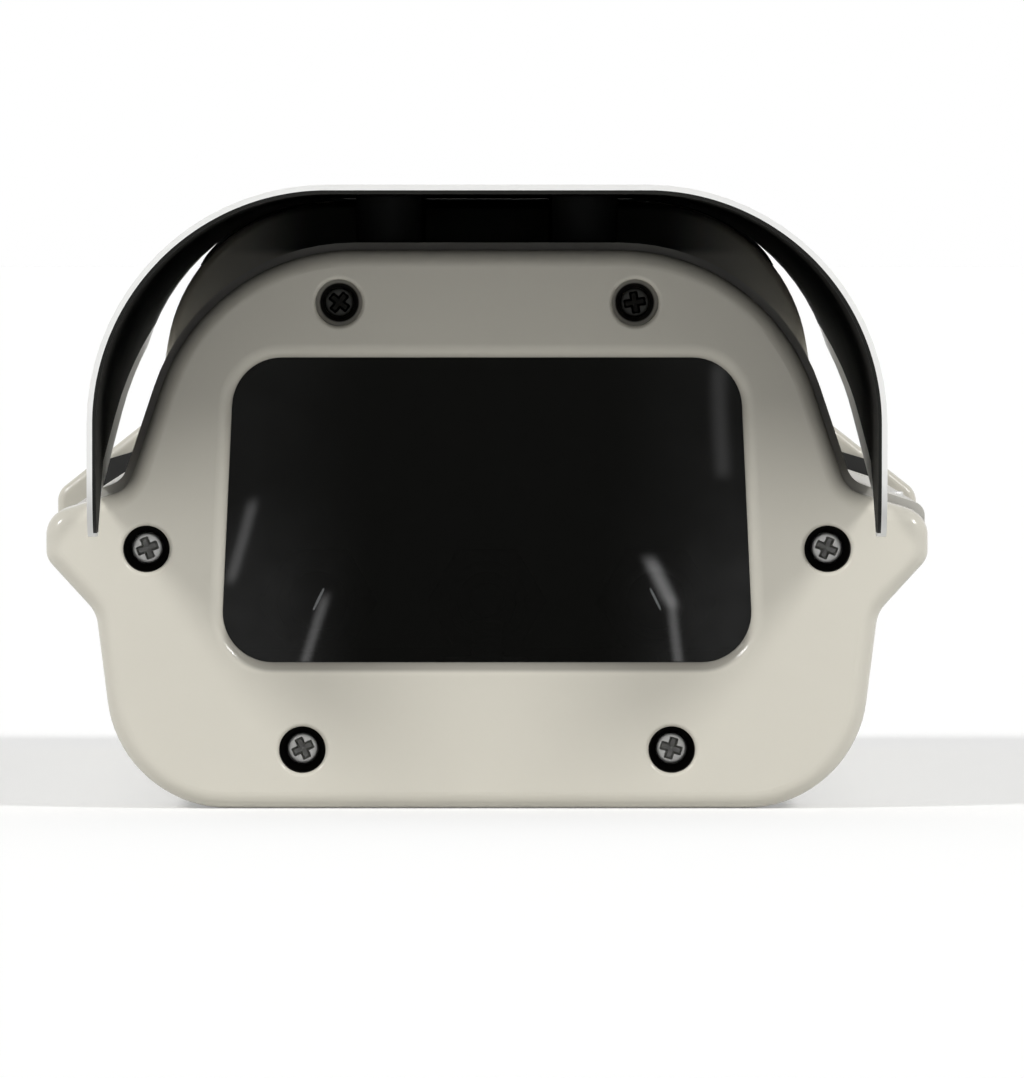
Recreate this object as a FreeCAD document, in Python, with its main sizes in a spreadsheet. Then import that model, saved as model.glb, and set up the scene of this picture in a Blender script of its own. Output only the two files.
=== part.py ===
import FreeCAD, Part
import math
import os
import Sketcher

# Security camera housing with a side hinged lid, a die-cast front and rear and a sunshield.
# Frame: +X right, +Y to the rear, +Z up. The origin is the middle of the mounting holes,
# on the flat underside, half way along the housing.

doc = FreeCAD.newDocument("camera_housing")

SIZES = [
    # whole housing
    ("housing_length", 350),
    ("wall", 2.6),
    ("fit_gap", 0.5),
    # section of the front, half widths and heights of its corners
    ("base_half_width", 66),
    ("base_round", 22),
    ("ear_root_half_width", 70.5),
    ("ear_root_height", 35.3),
    ("ear_root_round", 6),
    ("ear_half_width", 79.5),
    ("ear_low_height", 45.1),
    ("ear_low_round", 4),
    ("ear_top_height", 53),
    ("ear_top_round", 5),
    ("lobe_foot_half_width", 64.9),
    ("lobe_foot_height", 57.4),
    ("lobe_foot_round", 6),
    ("lobe_top_half_width", 50.5),
    ("lobe_round", 37),
    ("cap_height", 100.7),
    # front casting
    ("cap_depth", 22),
    ("cap_wall", 3.2),
    ("cap_edge_round", 3),
    ("window_low_height", 26.3),
    ("window_top_height", 81.3),
    ("window_low_half_width", 48.1),
    ("window_top_half_width", 45.6),
    ("window_round", 9),
    ("window_edge_round", 2.4),
    # glass and its clamp
    ("glass_margin", 3.2),
    ("glass_thickness", 3),
    ("glass_seal_thickness", 1.5),
    ("glass_seal_width", 3),
    ("glass_frame_thickness", 2),
    ("glass_frame_side", 7.5),
    ("glass_screw_low_height", 32),
    ("glass_screw_top_height", 66),
    ("glass_screw_radius", 1.25),
    ("glass_screw_head_radius", 2.4),
    ("glass_screw_head_height", 1.6),
    ("glass_boss_radius", 3),
    # six screw places of the front
    ("top_screw_half_width", 26.7),
    ("top_screw_height", 91.2),
    ("side_screw_half_width", 61.4),
    ("side_screw_height", 46.8),
    ("low_screw_half_width", 33.3),
    ("low_screw_height", 10.6),
    ("boss_radius", 6.2),
    ("recess_radius", 4.2),
    ("recess_depth", 12),
    ("recess_edge_round", 0.8),
    # fixing screws of the castings and of the tray
    ("screw_radius", 1.5),
    ("screw_clearance", 0.2),
    ("screw_head_radius", 2.75),
    ("screw_head_height", 2.2),
    ("screw_grip", 10),
    ("cross_length", 3),
    ("cross_width", 0.8),
    ("cross_depth", 1.2),
    # gaskets and bulkhead
    ("gasket_thickness", 1.5),
    ("gasket_width", 5),
    ("gasket_inset", 0.5),
    ("flap_half_width", 77),
    ("flap_outer_height", 58.4),
    ("flap_inner_height", 62),
    ("bulkhead_depth", 6),
    ("bulkhead_half_opening", 49),
    ("bulkhead_low_opening", 20),
    ("bulkhead_top_opening", 84),
    ("bulkhead_opening_round", 12),
    # lower body
    ("parting_height", 49.5),
    ("ledge_half_width", 62),
    ("ledge_thickness", 3),
    ("channel_radius", 4.2),
    ("rail_half_width", 54),
    ("rail_lip_half_width", 61),
    ("rail_thickness", 3.5),
    ("pad_half_width", 27),
    ("pad_thickness", 9),
    # lid
    ("cover_step", 1.3),
    ("lid_gap", 0.8),
    ("lid_end_gap", 0.4),
    ("lid_gasket_width", 4),
    # hinge along the left ear
    ("hinge_half_width", 74.7),
    ("hinge_height", 49.9),
    ("knuckle_radius", 3.8),
    ("knuckle_gap", 0.5),
    ("hinge_pin_radius", 1.5),
    ("hinge_play", 0.3),
    ("knuckle_count", 7),
    # captive screws of the right ear
    ("captive_half_width", 73.5),
    ("captive_spacing", 190),
    ("captive_radius", 2),
    ("captive_play", 0.45),
    ("captive_head_radius", 3.5),
    ("captive_head_height", 3),
    ("captive_seat_height", 53),
    ("captive_reach", 5),
    ("captive_socket", 1.5),
    ("captive_washer_radius", 3.6),
    ("captive_washer_thickness", 0.5),
    # rear casting, with its wide collar
    ("rear_depth", 33),
    ("rear_wall", 4),
    ("rear_edge_round", 3.5),
    ("collar_depth", 7),
    ("collar_edge_round", 1.5),
    ("collar_base_half_width", 70),
    ("collar_base_round", 24),
    ("collar_root_half_width", 74.5),
    ("collar_root_height", 36.5),
    ("collar_ear_half_width", 85.5),
    ("collar_ear_low_height", 46),
    ("collar_ear_top_height", 52.4),
    ("collar_foot_half_width", 65.9),
    ("collar_foot_height", 67.9),
    ("collar_foot_round", 8),
    ("collar_top_half_width", 59),
    ("collar_round", 33),
    ("collar_pad_half_length", 29),
    ("collar_pad_thickness", 0.5),
    # cable glands in the rear
    ("gland_spacing", 34),
    ("gland_height", 30),
    ("gland_thread_radius", 8),
    ("gland_hex_radius", 12),
    ("gland_hex_depth", 5),
    ("gland_neck_radius", 7.6),
    ("gland_neck_length", 9),
    ("gland_cap_radius", 10.5),
    ("gland_cap_length", 15),
    ("gland_cap_round", 3),
    ("gland_mouth_radius", 5.5),
    ("gland_nut_depth", 5),
    ("gland_bore_radius", 6),
    ("gland_seal_proud", 1.5),
    ("cable_radius", 3.5),
    # sunshield
    ("shield_overhang", 45),
    ("shield_length", 375),
    ("shield_half_width", 69.5),
    ("shield_round", 41),
    ("shield_thickness", 1.6),
    ("shield_standoff", 8.7),
    ("shield_rear_gap", 0.6),
    ("shield_nose_height", 49.6),
    ("shield_nose_length", 24),
    ("shield_nose_round", 12),
    ("shield_side_height", 56.9),
    ("shield_rear_height", 81.5),
    ("shield_screw_half_width", 18),
    ("shield_screw_front", 60),
    ("shield_screw_spacing", 200),
    ("spacer_radius", 6),
    ("shield_screw_radius", 2),
    ("shield_head_radius", 3.6),
    ("shield_head_bevel", 1.5),
    ("shield_nut_radius", 4),
    ("shield_nut_height", 3),
    # tray for the camera
    ("tray_height", 19.2),
    ("tray_half_width", 63.5),
    ("tray_length", 250),
    ("tray_thickness", 2.5),
    ("tray_play", 0.3),
    ("tray_slot_half_width", 3.6),
    ("tray_slot_length", 190),
    ("tray_window_half_width", 40),
    ("tray_window_width", 14),
    ("tray_screw_spacing", 200),
    ("tray_screw_reach", 3.4),
    ("camera_neck_radius", 3.3),
    ("camera_thread_radius", 3.1),
    ("camera_screw_rise", 7),
    ("camera_knob_radius", 9),
    ("camera_knob_height", 6),
    ("camera_knob_play", 0.2),
    ("camera_washer_radius", 8),
    ("camera_washer_thickness", 1.2),
    # mounting holes in the underside
    ("mount_spacing_x", 38),
    ("mount_spacing_y", 70),
    ("mount_hole_radius", 2.5),
    ("mount_hole_depth", 7),
]


class Measure:
    """A length that knows its number and the sheet formula that it comes from."""

    def __init__(self, number, formula):
        self.number = float(number)
        self.formula = formula

    def __add__(self, other):
        return joined(self, "+", other)

    def __radd__(self, other):
        return joined(other, "+", self)

    def __sub__(self, other):
        return joined(self, "-", other)

    def __rsub__(self, other):
        return joined(other, "-", self)

    def __mul__(self, other):
        return joined(self, "*", other)

    def __rmul__(self, other):
        return joined(other, "*", self)

    def __truediv__(self, other):
        return joined(self, "/", other)

    def __neg__(self):
        return joined(0, "-", self)


OPERATIONS = {
    "+": lambda first, second: first + second,
    "-": lambda first, second: first - second,
    "*": lambda first, second: first * second,
    "/": lambda first, second: first / second,
}


def measure(value):
    if isinstance(value, Measure):
        return value
    return Measure(value, str(value))


def joined(first, sign, second):
    first, second = measure(first), measure(second)
    number = OPERATIONS[sign](first.number, second.number)
    return Measure(number, "(%s %s %s)" % (first.formula, sign, second.formula))


class Sizes:
    """The driving dimensions, each read from its named cell of the sheet."""

    def __init__(self, rows):
        sheet = doc.addObject("Spreadsheet::Sheet", "Sizes")
        for row, (name, number) in enumerate(rows, start=1):
            sheet.set("A%d" % row, name)
            sheet.set("B%d" % row, str(number))
            sheet.setAlias("B%d" % row, name)
        doc.recompute()
        for name, number in rows:
            setattr(self, name, Measure(sheet.get(name), "Sizes." + name))


size = Sizes(SIZES)

# Stations along the housing, front to rear
front = -size.housing_length / 2
cap_back = front + size.cap_depth
shell_front = cap_back + size.gasket_thickness
bulkhead_back = shell_front + size.bulkhead_depth
rear = size.housing_length / 2
rear_front = rear - size.rear_depth
shell_back = rear_front - size.gasket_thickness
collar_back = rear_front + size.collar_depth
shield_front = front - size.shield_overhang
shield_back = shield_front + size.shield_length

# Heights that several pieces share
lid_bottom = size.parting_height + size.lid_gap
lid_top = size.cap_height + size.cover_step
shield_underside = lid_top + size.shield_standoff
tray_top = size.tray_height + size.tray_thickness
collar_height = shield_underside - size.shield_rear_gap


# A cut runs this far past the solid that it cuts, and lengths closer than SAME are the same
BEYOND = 1
SAME = 1e-4


# Tools for the sketches and features

def bind(thing, name, value):
    """Drives a property by the sheet."""
    value = measure(value)
    thing.setExpression(name, value.formula)


def new_body(label):
    body = doc.addObject("PartDesign::Body", label)
    body.Label = label
    if hasattr(body, "AllowCompound"):
        body.AllowCompound = True
    return body


def new_sketch(body, plane, level=0):
    """A sketch on an origin plane of the body, moved to a level along that plane's axis."""
    sketch = body.newObject("Sketcher::SketchObject", body.Name + "_sketch")
    for feature in body.Origin.OriginFeatures:
        if feature.Role == plane + "_Plane":
            sketch.AttachmentSupport = [(feature, "")]
    sketch.MapMode = "FlatFace"
    level = measure(level)
    offset = -level if plane == "XZ" else level
    sketch.AttachmentOffset = FreeCAD.Placement(FreeCAD.Vector(0, 0, offset.number), FreeCAD.Rotation())
    bind(sketch, "AttachmentOffset.Base.z", offset)
    return sketch


def place_point(sketch, geometry, vertex, x, y):
    """Fixes a point of the sketch at two measures from its origin."""
    for kind, value in (("DistanceX", x), ("DistanceY", y)):
        value = measure(value)
        index = sketch.addConstraint(Sketcher.Constraint(kind, -1, 1, geometry, vertex, value.number))
        bind(sketch, "Constraints[%d]" % index, value)


def unit(start, end):
    step = end - start
    return step / step.Length


def outline(sketch, corners):
    """A closed outline through corner points (x, y, rounding), each rounded by its own radius."""
    points = [FreeCAD.Vector(measure(x).number, measure(y).number, 0) for x, y, _ in corners]
    rounds = [measure(rounding) for _, _, rounding in corners]
    count = len(corners)
    entries, exits, arcs, turns_left = [], [], [], []
    for i, point in enumerate(points):
        back = unit(point, points[i - 1])
        ahead = unit(point, points[(i + 1) % count])
        turns_left.append(ahead.cross(back).z > 0)
        if rounds[i].number == 0:
            entries.append(point)
            exits.append(point)
            arcs.append(None)
            continue
        half_angle = back.getAngle(ahead) / 2
        reach = rounds[i].number / math.tan(half_angle)
        bisector = (back + ahead) / (back + ahead).Length
        centre = point + bisector * (rounds[i].number / math.sin(half_angle))
        entries.append(point + back * reach)
        exits.append(point + ahead * reach)
        first, last = (entries[i], exits[i]) if turns_left[i] else (exits[i], entries[i])
        circle = Part.Circle(centre, FreeCAD.Vector(0, 0, 1), rounds[i].number)
        start_angle = math.atan2(first.y - centre.y, first.x - centre.x)
        end_angle = math.atan2(last.y - centre.y, last.x - centre.x)
        if end_angle < start_angle:
            end_angle += 2 * math.pi
        arcs.append(sketch.addGeometry(Part.ArcOfCircle(circle, start_angle, end_angle)))
    lines = []
    for i in range(count):
        lines.append(sketch.addGeometry(Part.LineSegment(exits[i], entries[(i + 1) % count])))
    for i, (x, y, _) in enumerate(corners):
        before, after = lines[i - 1], lines[i]
        if arcs[i] is None:
            sketch.addConstraint(Sketcher.Constraint("Coincident", before, 2, after, 1))
            place_point(sketch, after, 1, x, y)
            continue
        mark = sketch.addGeometry(Part.Point(points[i]), True)
        place_point(sketch, mark, 1, x, y)
        sketch.addConstraint(Sketcher.Constraint("PointOnObject", mark, 1, before))
        sketch.addConstraint(Sketcher.Constraint("PointOnObject", mark, 1, after))
        first, last = (1, 2) if turns_left[i] else (2, 1)
        sketch.addConstraint(Sketcher.Constraint("Tangent", before, 2, arcs[i], first))
        sketch.addConstraint(Sketcher.Constraint("Tangent", after, 1, arcs[i], last))
        index = sketch.addConstraint(Sketcher.Constraint("Radius", arcs[i], rounds[i].number))
        bind(sketch, "Constraints[%d]" % index, rounds[i])


def circles(sketch, centres, radius):
    """Equal circles at centre points (x, y)."""
    radius = measure(radius)
    for x, y in centres:
        point = FreeCAD.Vector(measure(x).number, measure(y).number, 0)
        circle = sketch.addGeometry(Part.Circle(point, FreeCAD.Vector(0, 0, 1), radius.number))
        place_point(sketch, circle, 3, x, y)
        index = sketch.addConstraint(Sketcher.Constraint("Radius", circle, radius.number))
        bind(sketch, "Constraints[%d]" % index, radius)


def rectangle(sketch, left, right, low, high, rounding=0):
    outline(sketch, [
        (left, low, rounding),
        (right, low, rounding),
        (right, high, rounding),
        (left, high, rounding),
    ])


def side_rectangle(sketch, side, inner, outer, low, high):
    """A rectangle between two half widths, right of the middle for side 1 and left of it for side -1."""
    left, right = (inner, outer) if side > 0 else (-outer, -inner)
    rectangle(sketch, left, right, low, high)


def hexagon(sketch, x, y, radius):
    """A hexagon with two corners on the level of its centre."""
    half_height = radius * round(math.sqrt(3) / 2, 6)
    outline(sketch, [
        (x + radius, y, 0),
        (x + radius / 2, y + half_height, 0),
        (x - radius / 2, y + half_height, 0),
        (x - radius, y, 0),
        (x - radius / 2, y - half_height, 0),
        (x + radius / 2, y - half_height, 0),
    ])


def extrude(body, kind, sketch, length, backwards=False):
    """Pads or pockets a sketch; a pad from an XZ sketch runs to the rear, a pocket too."""
    feature = body.newObject("PartDesign::" + kind, body.Name + "_" + kind.lower())
    feature.Profile = sketch
    on_xz = sketch.AttachmentSupport[0][0].Role == "XZ_Plane"
    along_normal = (not on_xz) != backwards
    feature.Reversed = (not along_normal) if kind == "Pad" else along_normal
    bind(feature, "Length", length)
    doc.recompute()
    return feature


def pad(body, sketch, length, backwards=False):
    return extrude(body, "Pad", sketch, length, backwards)


def pocket(body, sketch, length, backwards=False):
    """Cuts a sketch into the body and makes sure that something was cut."""
    volume = body.Shape.Volume
    feature = extrude(body, "Pocket", sketch, length, backwards)
    if body.Shape.Volume > volume - SAME:
        raise RuntimeError("nothing was cut by " + feature.Name)
    return feature


def edges_at(body, axis, level):
    """Names of the edges that lie at a level along an axis."""
    level = measure(level).number
    names = []
    for i, edge in enumerate(body.Shape.Edges, start=1):
        low, high = getattr(edge.BoundBox, axis + "Min"), getattr(edge.BoundBox, axis + "Max")
        if abs(low - level) < SAME and abs(high - level) < SAME:
            names.append("Edge%d" % i)
    return names


def rims_at(body, axis, level, radius):
    """Names of the whole circles of one radius that lie at a level along an axis."""
    radius = measure(radius).number
    names = []
    for name in edges_at(body, axis, level):
        edge = body.Shape.getElement(name)
        if abs(edge.Length - 2 * math.pi * radius) < SAME and abs(edge.BoundBox.XLength - 2 * radius) < SAME:
            names.append(name)
    return names


def edges_within(body, axis, level, half_width, low, high):
    """Names of the edges at a level along an axis, within a half width and between two heights."""
    half_width, low, high = measure(half_width).number, measure(low).number, measure(high).number
    names = []
    for name in edges_at(body, axis, level):
        box = body.Shape.getElement(name).BoundBox
        in_width = max(-box.XMin, box.XMax) < half_width + BEYOND
        if in_width and box.ZMin > low - BEYOND and box.ZMax < high + BEYOND:
            names.append(name)
    return names


def dress(body, kind, edges, value):
    """Rounds or bevels named edges of the body."""
    base = body.Tip
    feature = body.newObject("PartDesign::" + kind, body.Name + "_" + kind.lower())
    feature.Base = (base, edges)
    bind(feature, "Radius" if kind == "Fillet" else "Size", value)
    doc.recompute()
    return feature


def mirrored(half):
    """Both sides of a half outline, given from the underside up to the top on the +X side."""
    return half + [(-x, z, rounding) for x, z, rounding in reversed(half)]


def both_sides(half_width, height):
    return [(half_width, height), (-half_width, height)]


# Outlines and places shared by the pieces

def housing_section(inset=0):
    """The front's outline, drawn in by an inset: flat base, two ears and the round upper lobe."""
    return mirrored([
        (size.base_half_width - inset, measure(inset), size.base_round - inset),
        (size.ear_root_half_width - inset, size.ear_root_height, size.ear_root_round),
        (size.ear_half_width - inset, size.ear_low_height, size.ear_low_round),
        (size.ear_half_width - inset, size.ear_top_height - inset, size.ear_top_round - inset),
        (size.lobe_foot_half_width - inset, size.lobe_foot_height - inset, size.lobe_foot_round),
        (size.lobe_top_half_width - inset, size.cap_height - inset, size.lobe_round - inset),
    ])


def bore_section(inset):
    """The clear space inside the front and rear castings: like their outline, without the ears."""
    return mirrored([
        (size.base_half_width - inset, measure(inset), size.base_round - inset),
        (size.ear_root_half_width - inset, size.ear_root_height, 0),
        (size.ear_root_half_width - inset, size.parting_height, 0),
        (size.lobe_foot_half_width - inset, size.lobe_foot_height, 0),
        (size.lobe_top_half_width - inset, size.cap_height - inset, size.lobe_round - inset),
    ])


def window_section(margin):
    """The window's outline, widened by a margin."""
    return mirrored([
        (size.window_low_half_width + margin, size.window_low_height - margin, size.window_round + margin),
        (size.window_top_half_width + margin, size.window_top_height + margin, size.window_round + margin),
    ])


TOP_SCREWS = both_sides(size.top_screw_half_width, size.top_screw_height)
SIDE_SCREWS = both_sides(size.side_screw_half_width, size.side_screw_height)
LOW_SCREWS = both_sides(size.low_screw_half_width, size.low_screw_height)
BODY_SCREWS = SIDE_SCREWS + LOW_SCREWS
FRONT_SCREWS = TOP_SCREWS + BODY_SCREWS
GLASS_SCREWS = (
    both_sides(size.window_low_half_width + size.glass_frame_side, size.glass_screw_low_height)
    + both_sides(size.window_top_half_width + size.glass_frame_side, size.glass_screw_top_height)
)


CAPTIVE_PLACES = [(size.captive_half_width, end * size.captive_spacing / 2) for end in (-1, 1)]
TRAY_PLACES = [
    (side * (size.rail_half_width + size.rail_thickness), end * size.tray_screw_spacing / 2)
    for side in (-1, 1) for end in (-1, 1)
]
MOUNT_PLACES = [
    (side * size.mount_spacing_x / 2, end * size.mount_spacing_y / 2)
    for side in (-1, 1) for end in (-1, 1)
]
SHIELD_PLACES = [
    (side * size.shield_screw_half_width, front + size.shield_screw_front + end * size.shield_screw_spacing)
    for side in (-1, 1) for end in (0, 1)
]
GLAND_PLACES = [(place * size.gland_spacing, size.gland_height) for place in (-1, 0, 1)]
HINGE_PLACE = (-size.hinge_half_width, size.hinge_height)


# The rounded share of a screw head's height, and the share of a slot's half width that rounds its ends
DOME = 0.6
SLOT_END = 0.9


def cross_recess(body, plane, level, centres, backwards=False):
    """Cuts a cross for the driver into each screw head."""
    half_long, half_short = size.cross_length / 2, size.cross_width / 2
    for half_x, half_z in ((half_long, half_short), (half_short, half_long)):
        sketch = new_sketch(body, plane, level)
        for x, z in centres:
            rectangle(sketch, x - half_x, x + half_x, z - half_z, z + half_z)
        pocket(body, sketch, size.cross_depth, backwards)


def domed_screws(label, plane, head_level, centres, head, shank, crossed=True, backwards=False):
    """Screws side by side: head (radius, height) on its seat and shank (radius, length)."""
    body = new_body(label)
    head_radius, head_height = head
    shank_radius, shank_length = shank
    sketch = new_sketch(body, plane, head_level)
    circles(sketch, centres, head_radius)
    pad(body, sketch, head_height, not backwards)
    axis = {"XZ": "Y", "XY": "Z"}[plane]
    outward = head_height if backwards else -head_height
    head_face = head_level + outward
    dress(body, "Fillet", edges_at(body, axis, head_face), head_height * DOME)
    sketch = new_sketch(body, plane, head_level)
    circles(sketch, centres, shank_radius)
    pad(body, sketch, shank_length, backwards)
    if crossed:
        cross_recess(body, plane, head_face, centres, backwards)
    return body


# Front casting: a shallow tray with the window, its rounded lip and six screw bosses

def make_front_cap():
    body = new_body("front_cap")
    sketch = new_sketch(body, "XZ", front)
    outline(sketch, housing_section())
    pad(body, sketch, size.cap_depth)
    dress(body, "Fillet", edges_at(body, "Y", front), size.cap_edge_round)
    sketch = new_sketch(body, "XZ", front + size.cap_wall)
    outline(sketch, bore_section(size.cap_wall))
    pocket(body, sketch, size.cap_depth)
    sketch = new_sketch(body, "XZ", front + size.cap_wall)
    circles(sketch, FRONT_SCREWS, size.boss_radius)
    pad(body, sketch, size.cap_depth - size.cap_wall)
    sketch = new_sketch(body, "XZ", front + size.cap_wall)
    circles(sketch, GLASS_SCREWS, size.glass_boss_radius)
    pad(body, sketch, size.glass_seal_thickness + size.glass_thickness)
    sketch = new_sketch(body, "XZ", front)
    outline(sketch, window_section(0))
    pocket(body, sketch, size.cap_depth)
    window_edges = edges_within(
        body, "Y", front, size.window_low_half_width, size.window_low_height, size.window_top_height)
    dress(body, "Fillet", window_edges, size.window_edge_round)
    sketch = new_sketch(body, "XZ", front)
    circles(sketch, FRONT_SCREWS, size.recess_radius)
    pocket(body, sketch, size.recess_depth)
    dress(body, "Fillet", rims_at(body, "Y", front, size.recess_radius), size.recess_edge_round)
    sketch = new_sketch(body, "XZ", front)
    circles(sketch, FRONT_SCREWS, size.screw_radius + size.screw_clearance)
    pocket(body, sketch, size.cap_depth)
    boss_back = front + size.cap_wall + size.glass_seal_thickness + size.glass_thickness
    sketch = new_sketch(body, "XZ", boss_back)
    circles(sketch, GLASS_SCREWS, size.glass_screw_radius)
    pocket(body, sketch, size.glass_seal_thickness + size.glass_thickness, backwards=True)
    return body


# Glass, its seal and the frame that clamps both behind the window

def make_glass_parts():
    seal_front = front + size.cap_wall
    glass_front = seal_front + size.glass_seal_thickness
    frame_front = glass_front + size.glass_thickness
    frame_back = frame_front + size.glass_frame_thickness

    seal = new_body("glass_seal")
    sketch = new_sketch(seal, "XZ", seal_front)
    outline(sketch, window_section(size.glass_margin))
    outline(sketch, window_section(size.glass_margin - size.glass_seal_width))
    pad(seal, sketch, size.glass_seal_thickness)

    glass = new_body("window_glass")
    sketch = new_sketch(glass, "XZ", glass_front)
    outline(sketch, window_section(size.glass_margin))
    pad(glass, sketch, size.glass_thickness)

    frame = new_body("glass_frame")
    sketch = new_sketch(frame, "XZ", frame_front)
    side = size.glass_frame_side + size.glass_boss_radius
    margin = size.glass_margin
    outline(sketch, mirrored([
        (size.window_low_half_width + side, size.window_low_height - margin, size.window_round),
        (size.window_top_half_width + side, size.glass_screw_top_height + margin, size.glass_boss_radius),
        (size.window_top_half_width + margin, size.window_top_height + margin, size.window_round),
    ]))
    outline(sketch, window_section(0))
    pad(frame, sketch, size.glass_frame_thickness)
    sketch = new_sketch(frame, "XZ", frame_front)
    circles(sketch, SIDE_SCREWS, size.boss_radius + size.fit_gap)
    pocket(frame, sketch, size.glass_frame_thickness)
    sketch = new_sketch(frame, "XZ", frame_front)
    circles(sketch, GLASS_SCREWS, size.glass_screw_radius + size.screw_clearance)
    pocket(frame, sketch, size.glass_frame_thickness)

    shank = size.glass_frame_thickness + size.glass_seal_thickness + size.glass_thickness - size.fit_gap
    domed_screws(
        "glass_frame_screws", "XZ", frame_back, GLASS_SCREWS,
        (size.glass_screw_head_radius, size.glass_screw_head_height),
        (size.glass_screw_radius, shank), crossed=False, backwards=True)


def make_gasket(label, level):
    """A flat rubber gasket between a casting and the shells, held in from their outline."""
    body = new_body(label)
    sketch = new_sketch(body, "XZ", level)
    outline(sketch, housing_section(size.gasket_inset))
    outline(sketch, bore_section(size.gasket_inset + size.gasket_width))
    pad(body, sketch, size.gasket_thickness)
    sketch = new_sketch(body, "XZ", level)
    circles(sketch, FRONT_SCREWS, size.boss_radius)
    pad(body, sketch, size.gasket_thickness)
    sketch = new_sketch(body, "XZ", level)
    circles(sketch, FRONT_SCREWS, size.screw_radius + size.screw_clearance)
    pocket(body, sketch, size.gasket_thickness)
    return body


def make_rear_gasket():
    """The rear gasket, with a flap over the collar in each corner between an ear and the lobe."""
    body = make_gasket("rear_gasket", shell_back)
    for side in (-1, 1):
        inner, outer = size.lobe_foot_half_width * side, size.flap_half_width * side
        corners = [
            (inner, size.parting_height, 0),
            (outer, size.parting_height, 0),
            (outer, size.flap_outer_height, 0),
            (inner, size.flap_inner_height, 0),
        ]
        sketch = new_sketch(body, "XZ", shell_back)
        outline(sketch, corners[::side])
        pad(body, sketch, size.gasket_thickness)


def shell_bore(clearance, upper_clearance):
    """The inside of the shells, drawn in by a clearance in the body and another in the lid."""
    inset = size.wall + clearance
    upper = size.wall + upper_clearance - size.cover_step
    return mirrored([
        (size.base_half_width - inset, measure(inset), size.base_round - inset),
        (size.ear_root_half_width - inset, size.ear_root_height, 0),
        (size.ear_root_half_width - inset, size.parting_height, 0),
        (size.lobe_foot_half_width - upper, size.parting_height, 0),
        (size.lobe_foot_half_width - upper, size.lobe_foot_height, 0),
        (size.lobe_top_half_width - upper, size.cap_height - upper, size.lobe_round - upper),
    ])


# Bulkhead inside the front of the shells: the cap's screws clamp it to the lower body

def make_bulkhead():
    body = new_body("front_bulkhead")
    sketch = new_sketch(body, "XZ", shell_front)
    outline(sketch, shell_bore(size.fit_gap, size.fit_gap * 2))
    rectangle(
        sketch, -size.bulkhead_half_opening, size.bulkhead_half_opening,
        size.bulkhead_low_opening, size.bulkhead_top_opening, size.bulkhead_opening_round)
    pad(body, sketch, size.bulkhead_depth)
    sketch = new_sketch(body, "XZ", bulkhead_back)
    circles(sketch, TOP_SCREWS, size.channel_radius)
    pad(body, sketch, size.screw_grip)
    sketch = new_sketch(body, "XZ", shell_front)
    circles(sketch, FRONT_SCREWS, size.screw_radius + size.screw_clearance)
    pocket(body, sketch, size.bulkhead_depth + size.screw_grip)


# Lower body: an extruded tub with ledges, screw channels, tray rails and a thick mounting strip

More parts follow.
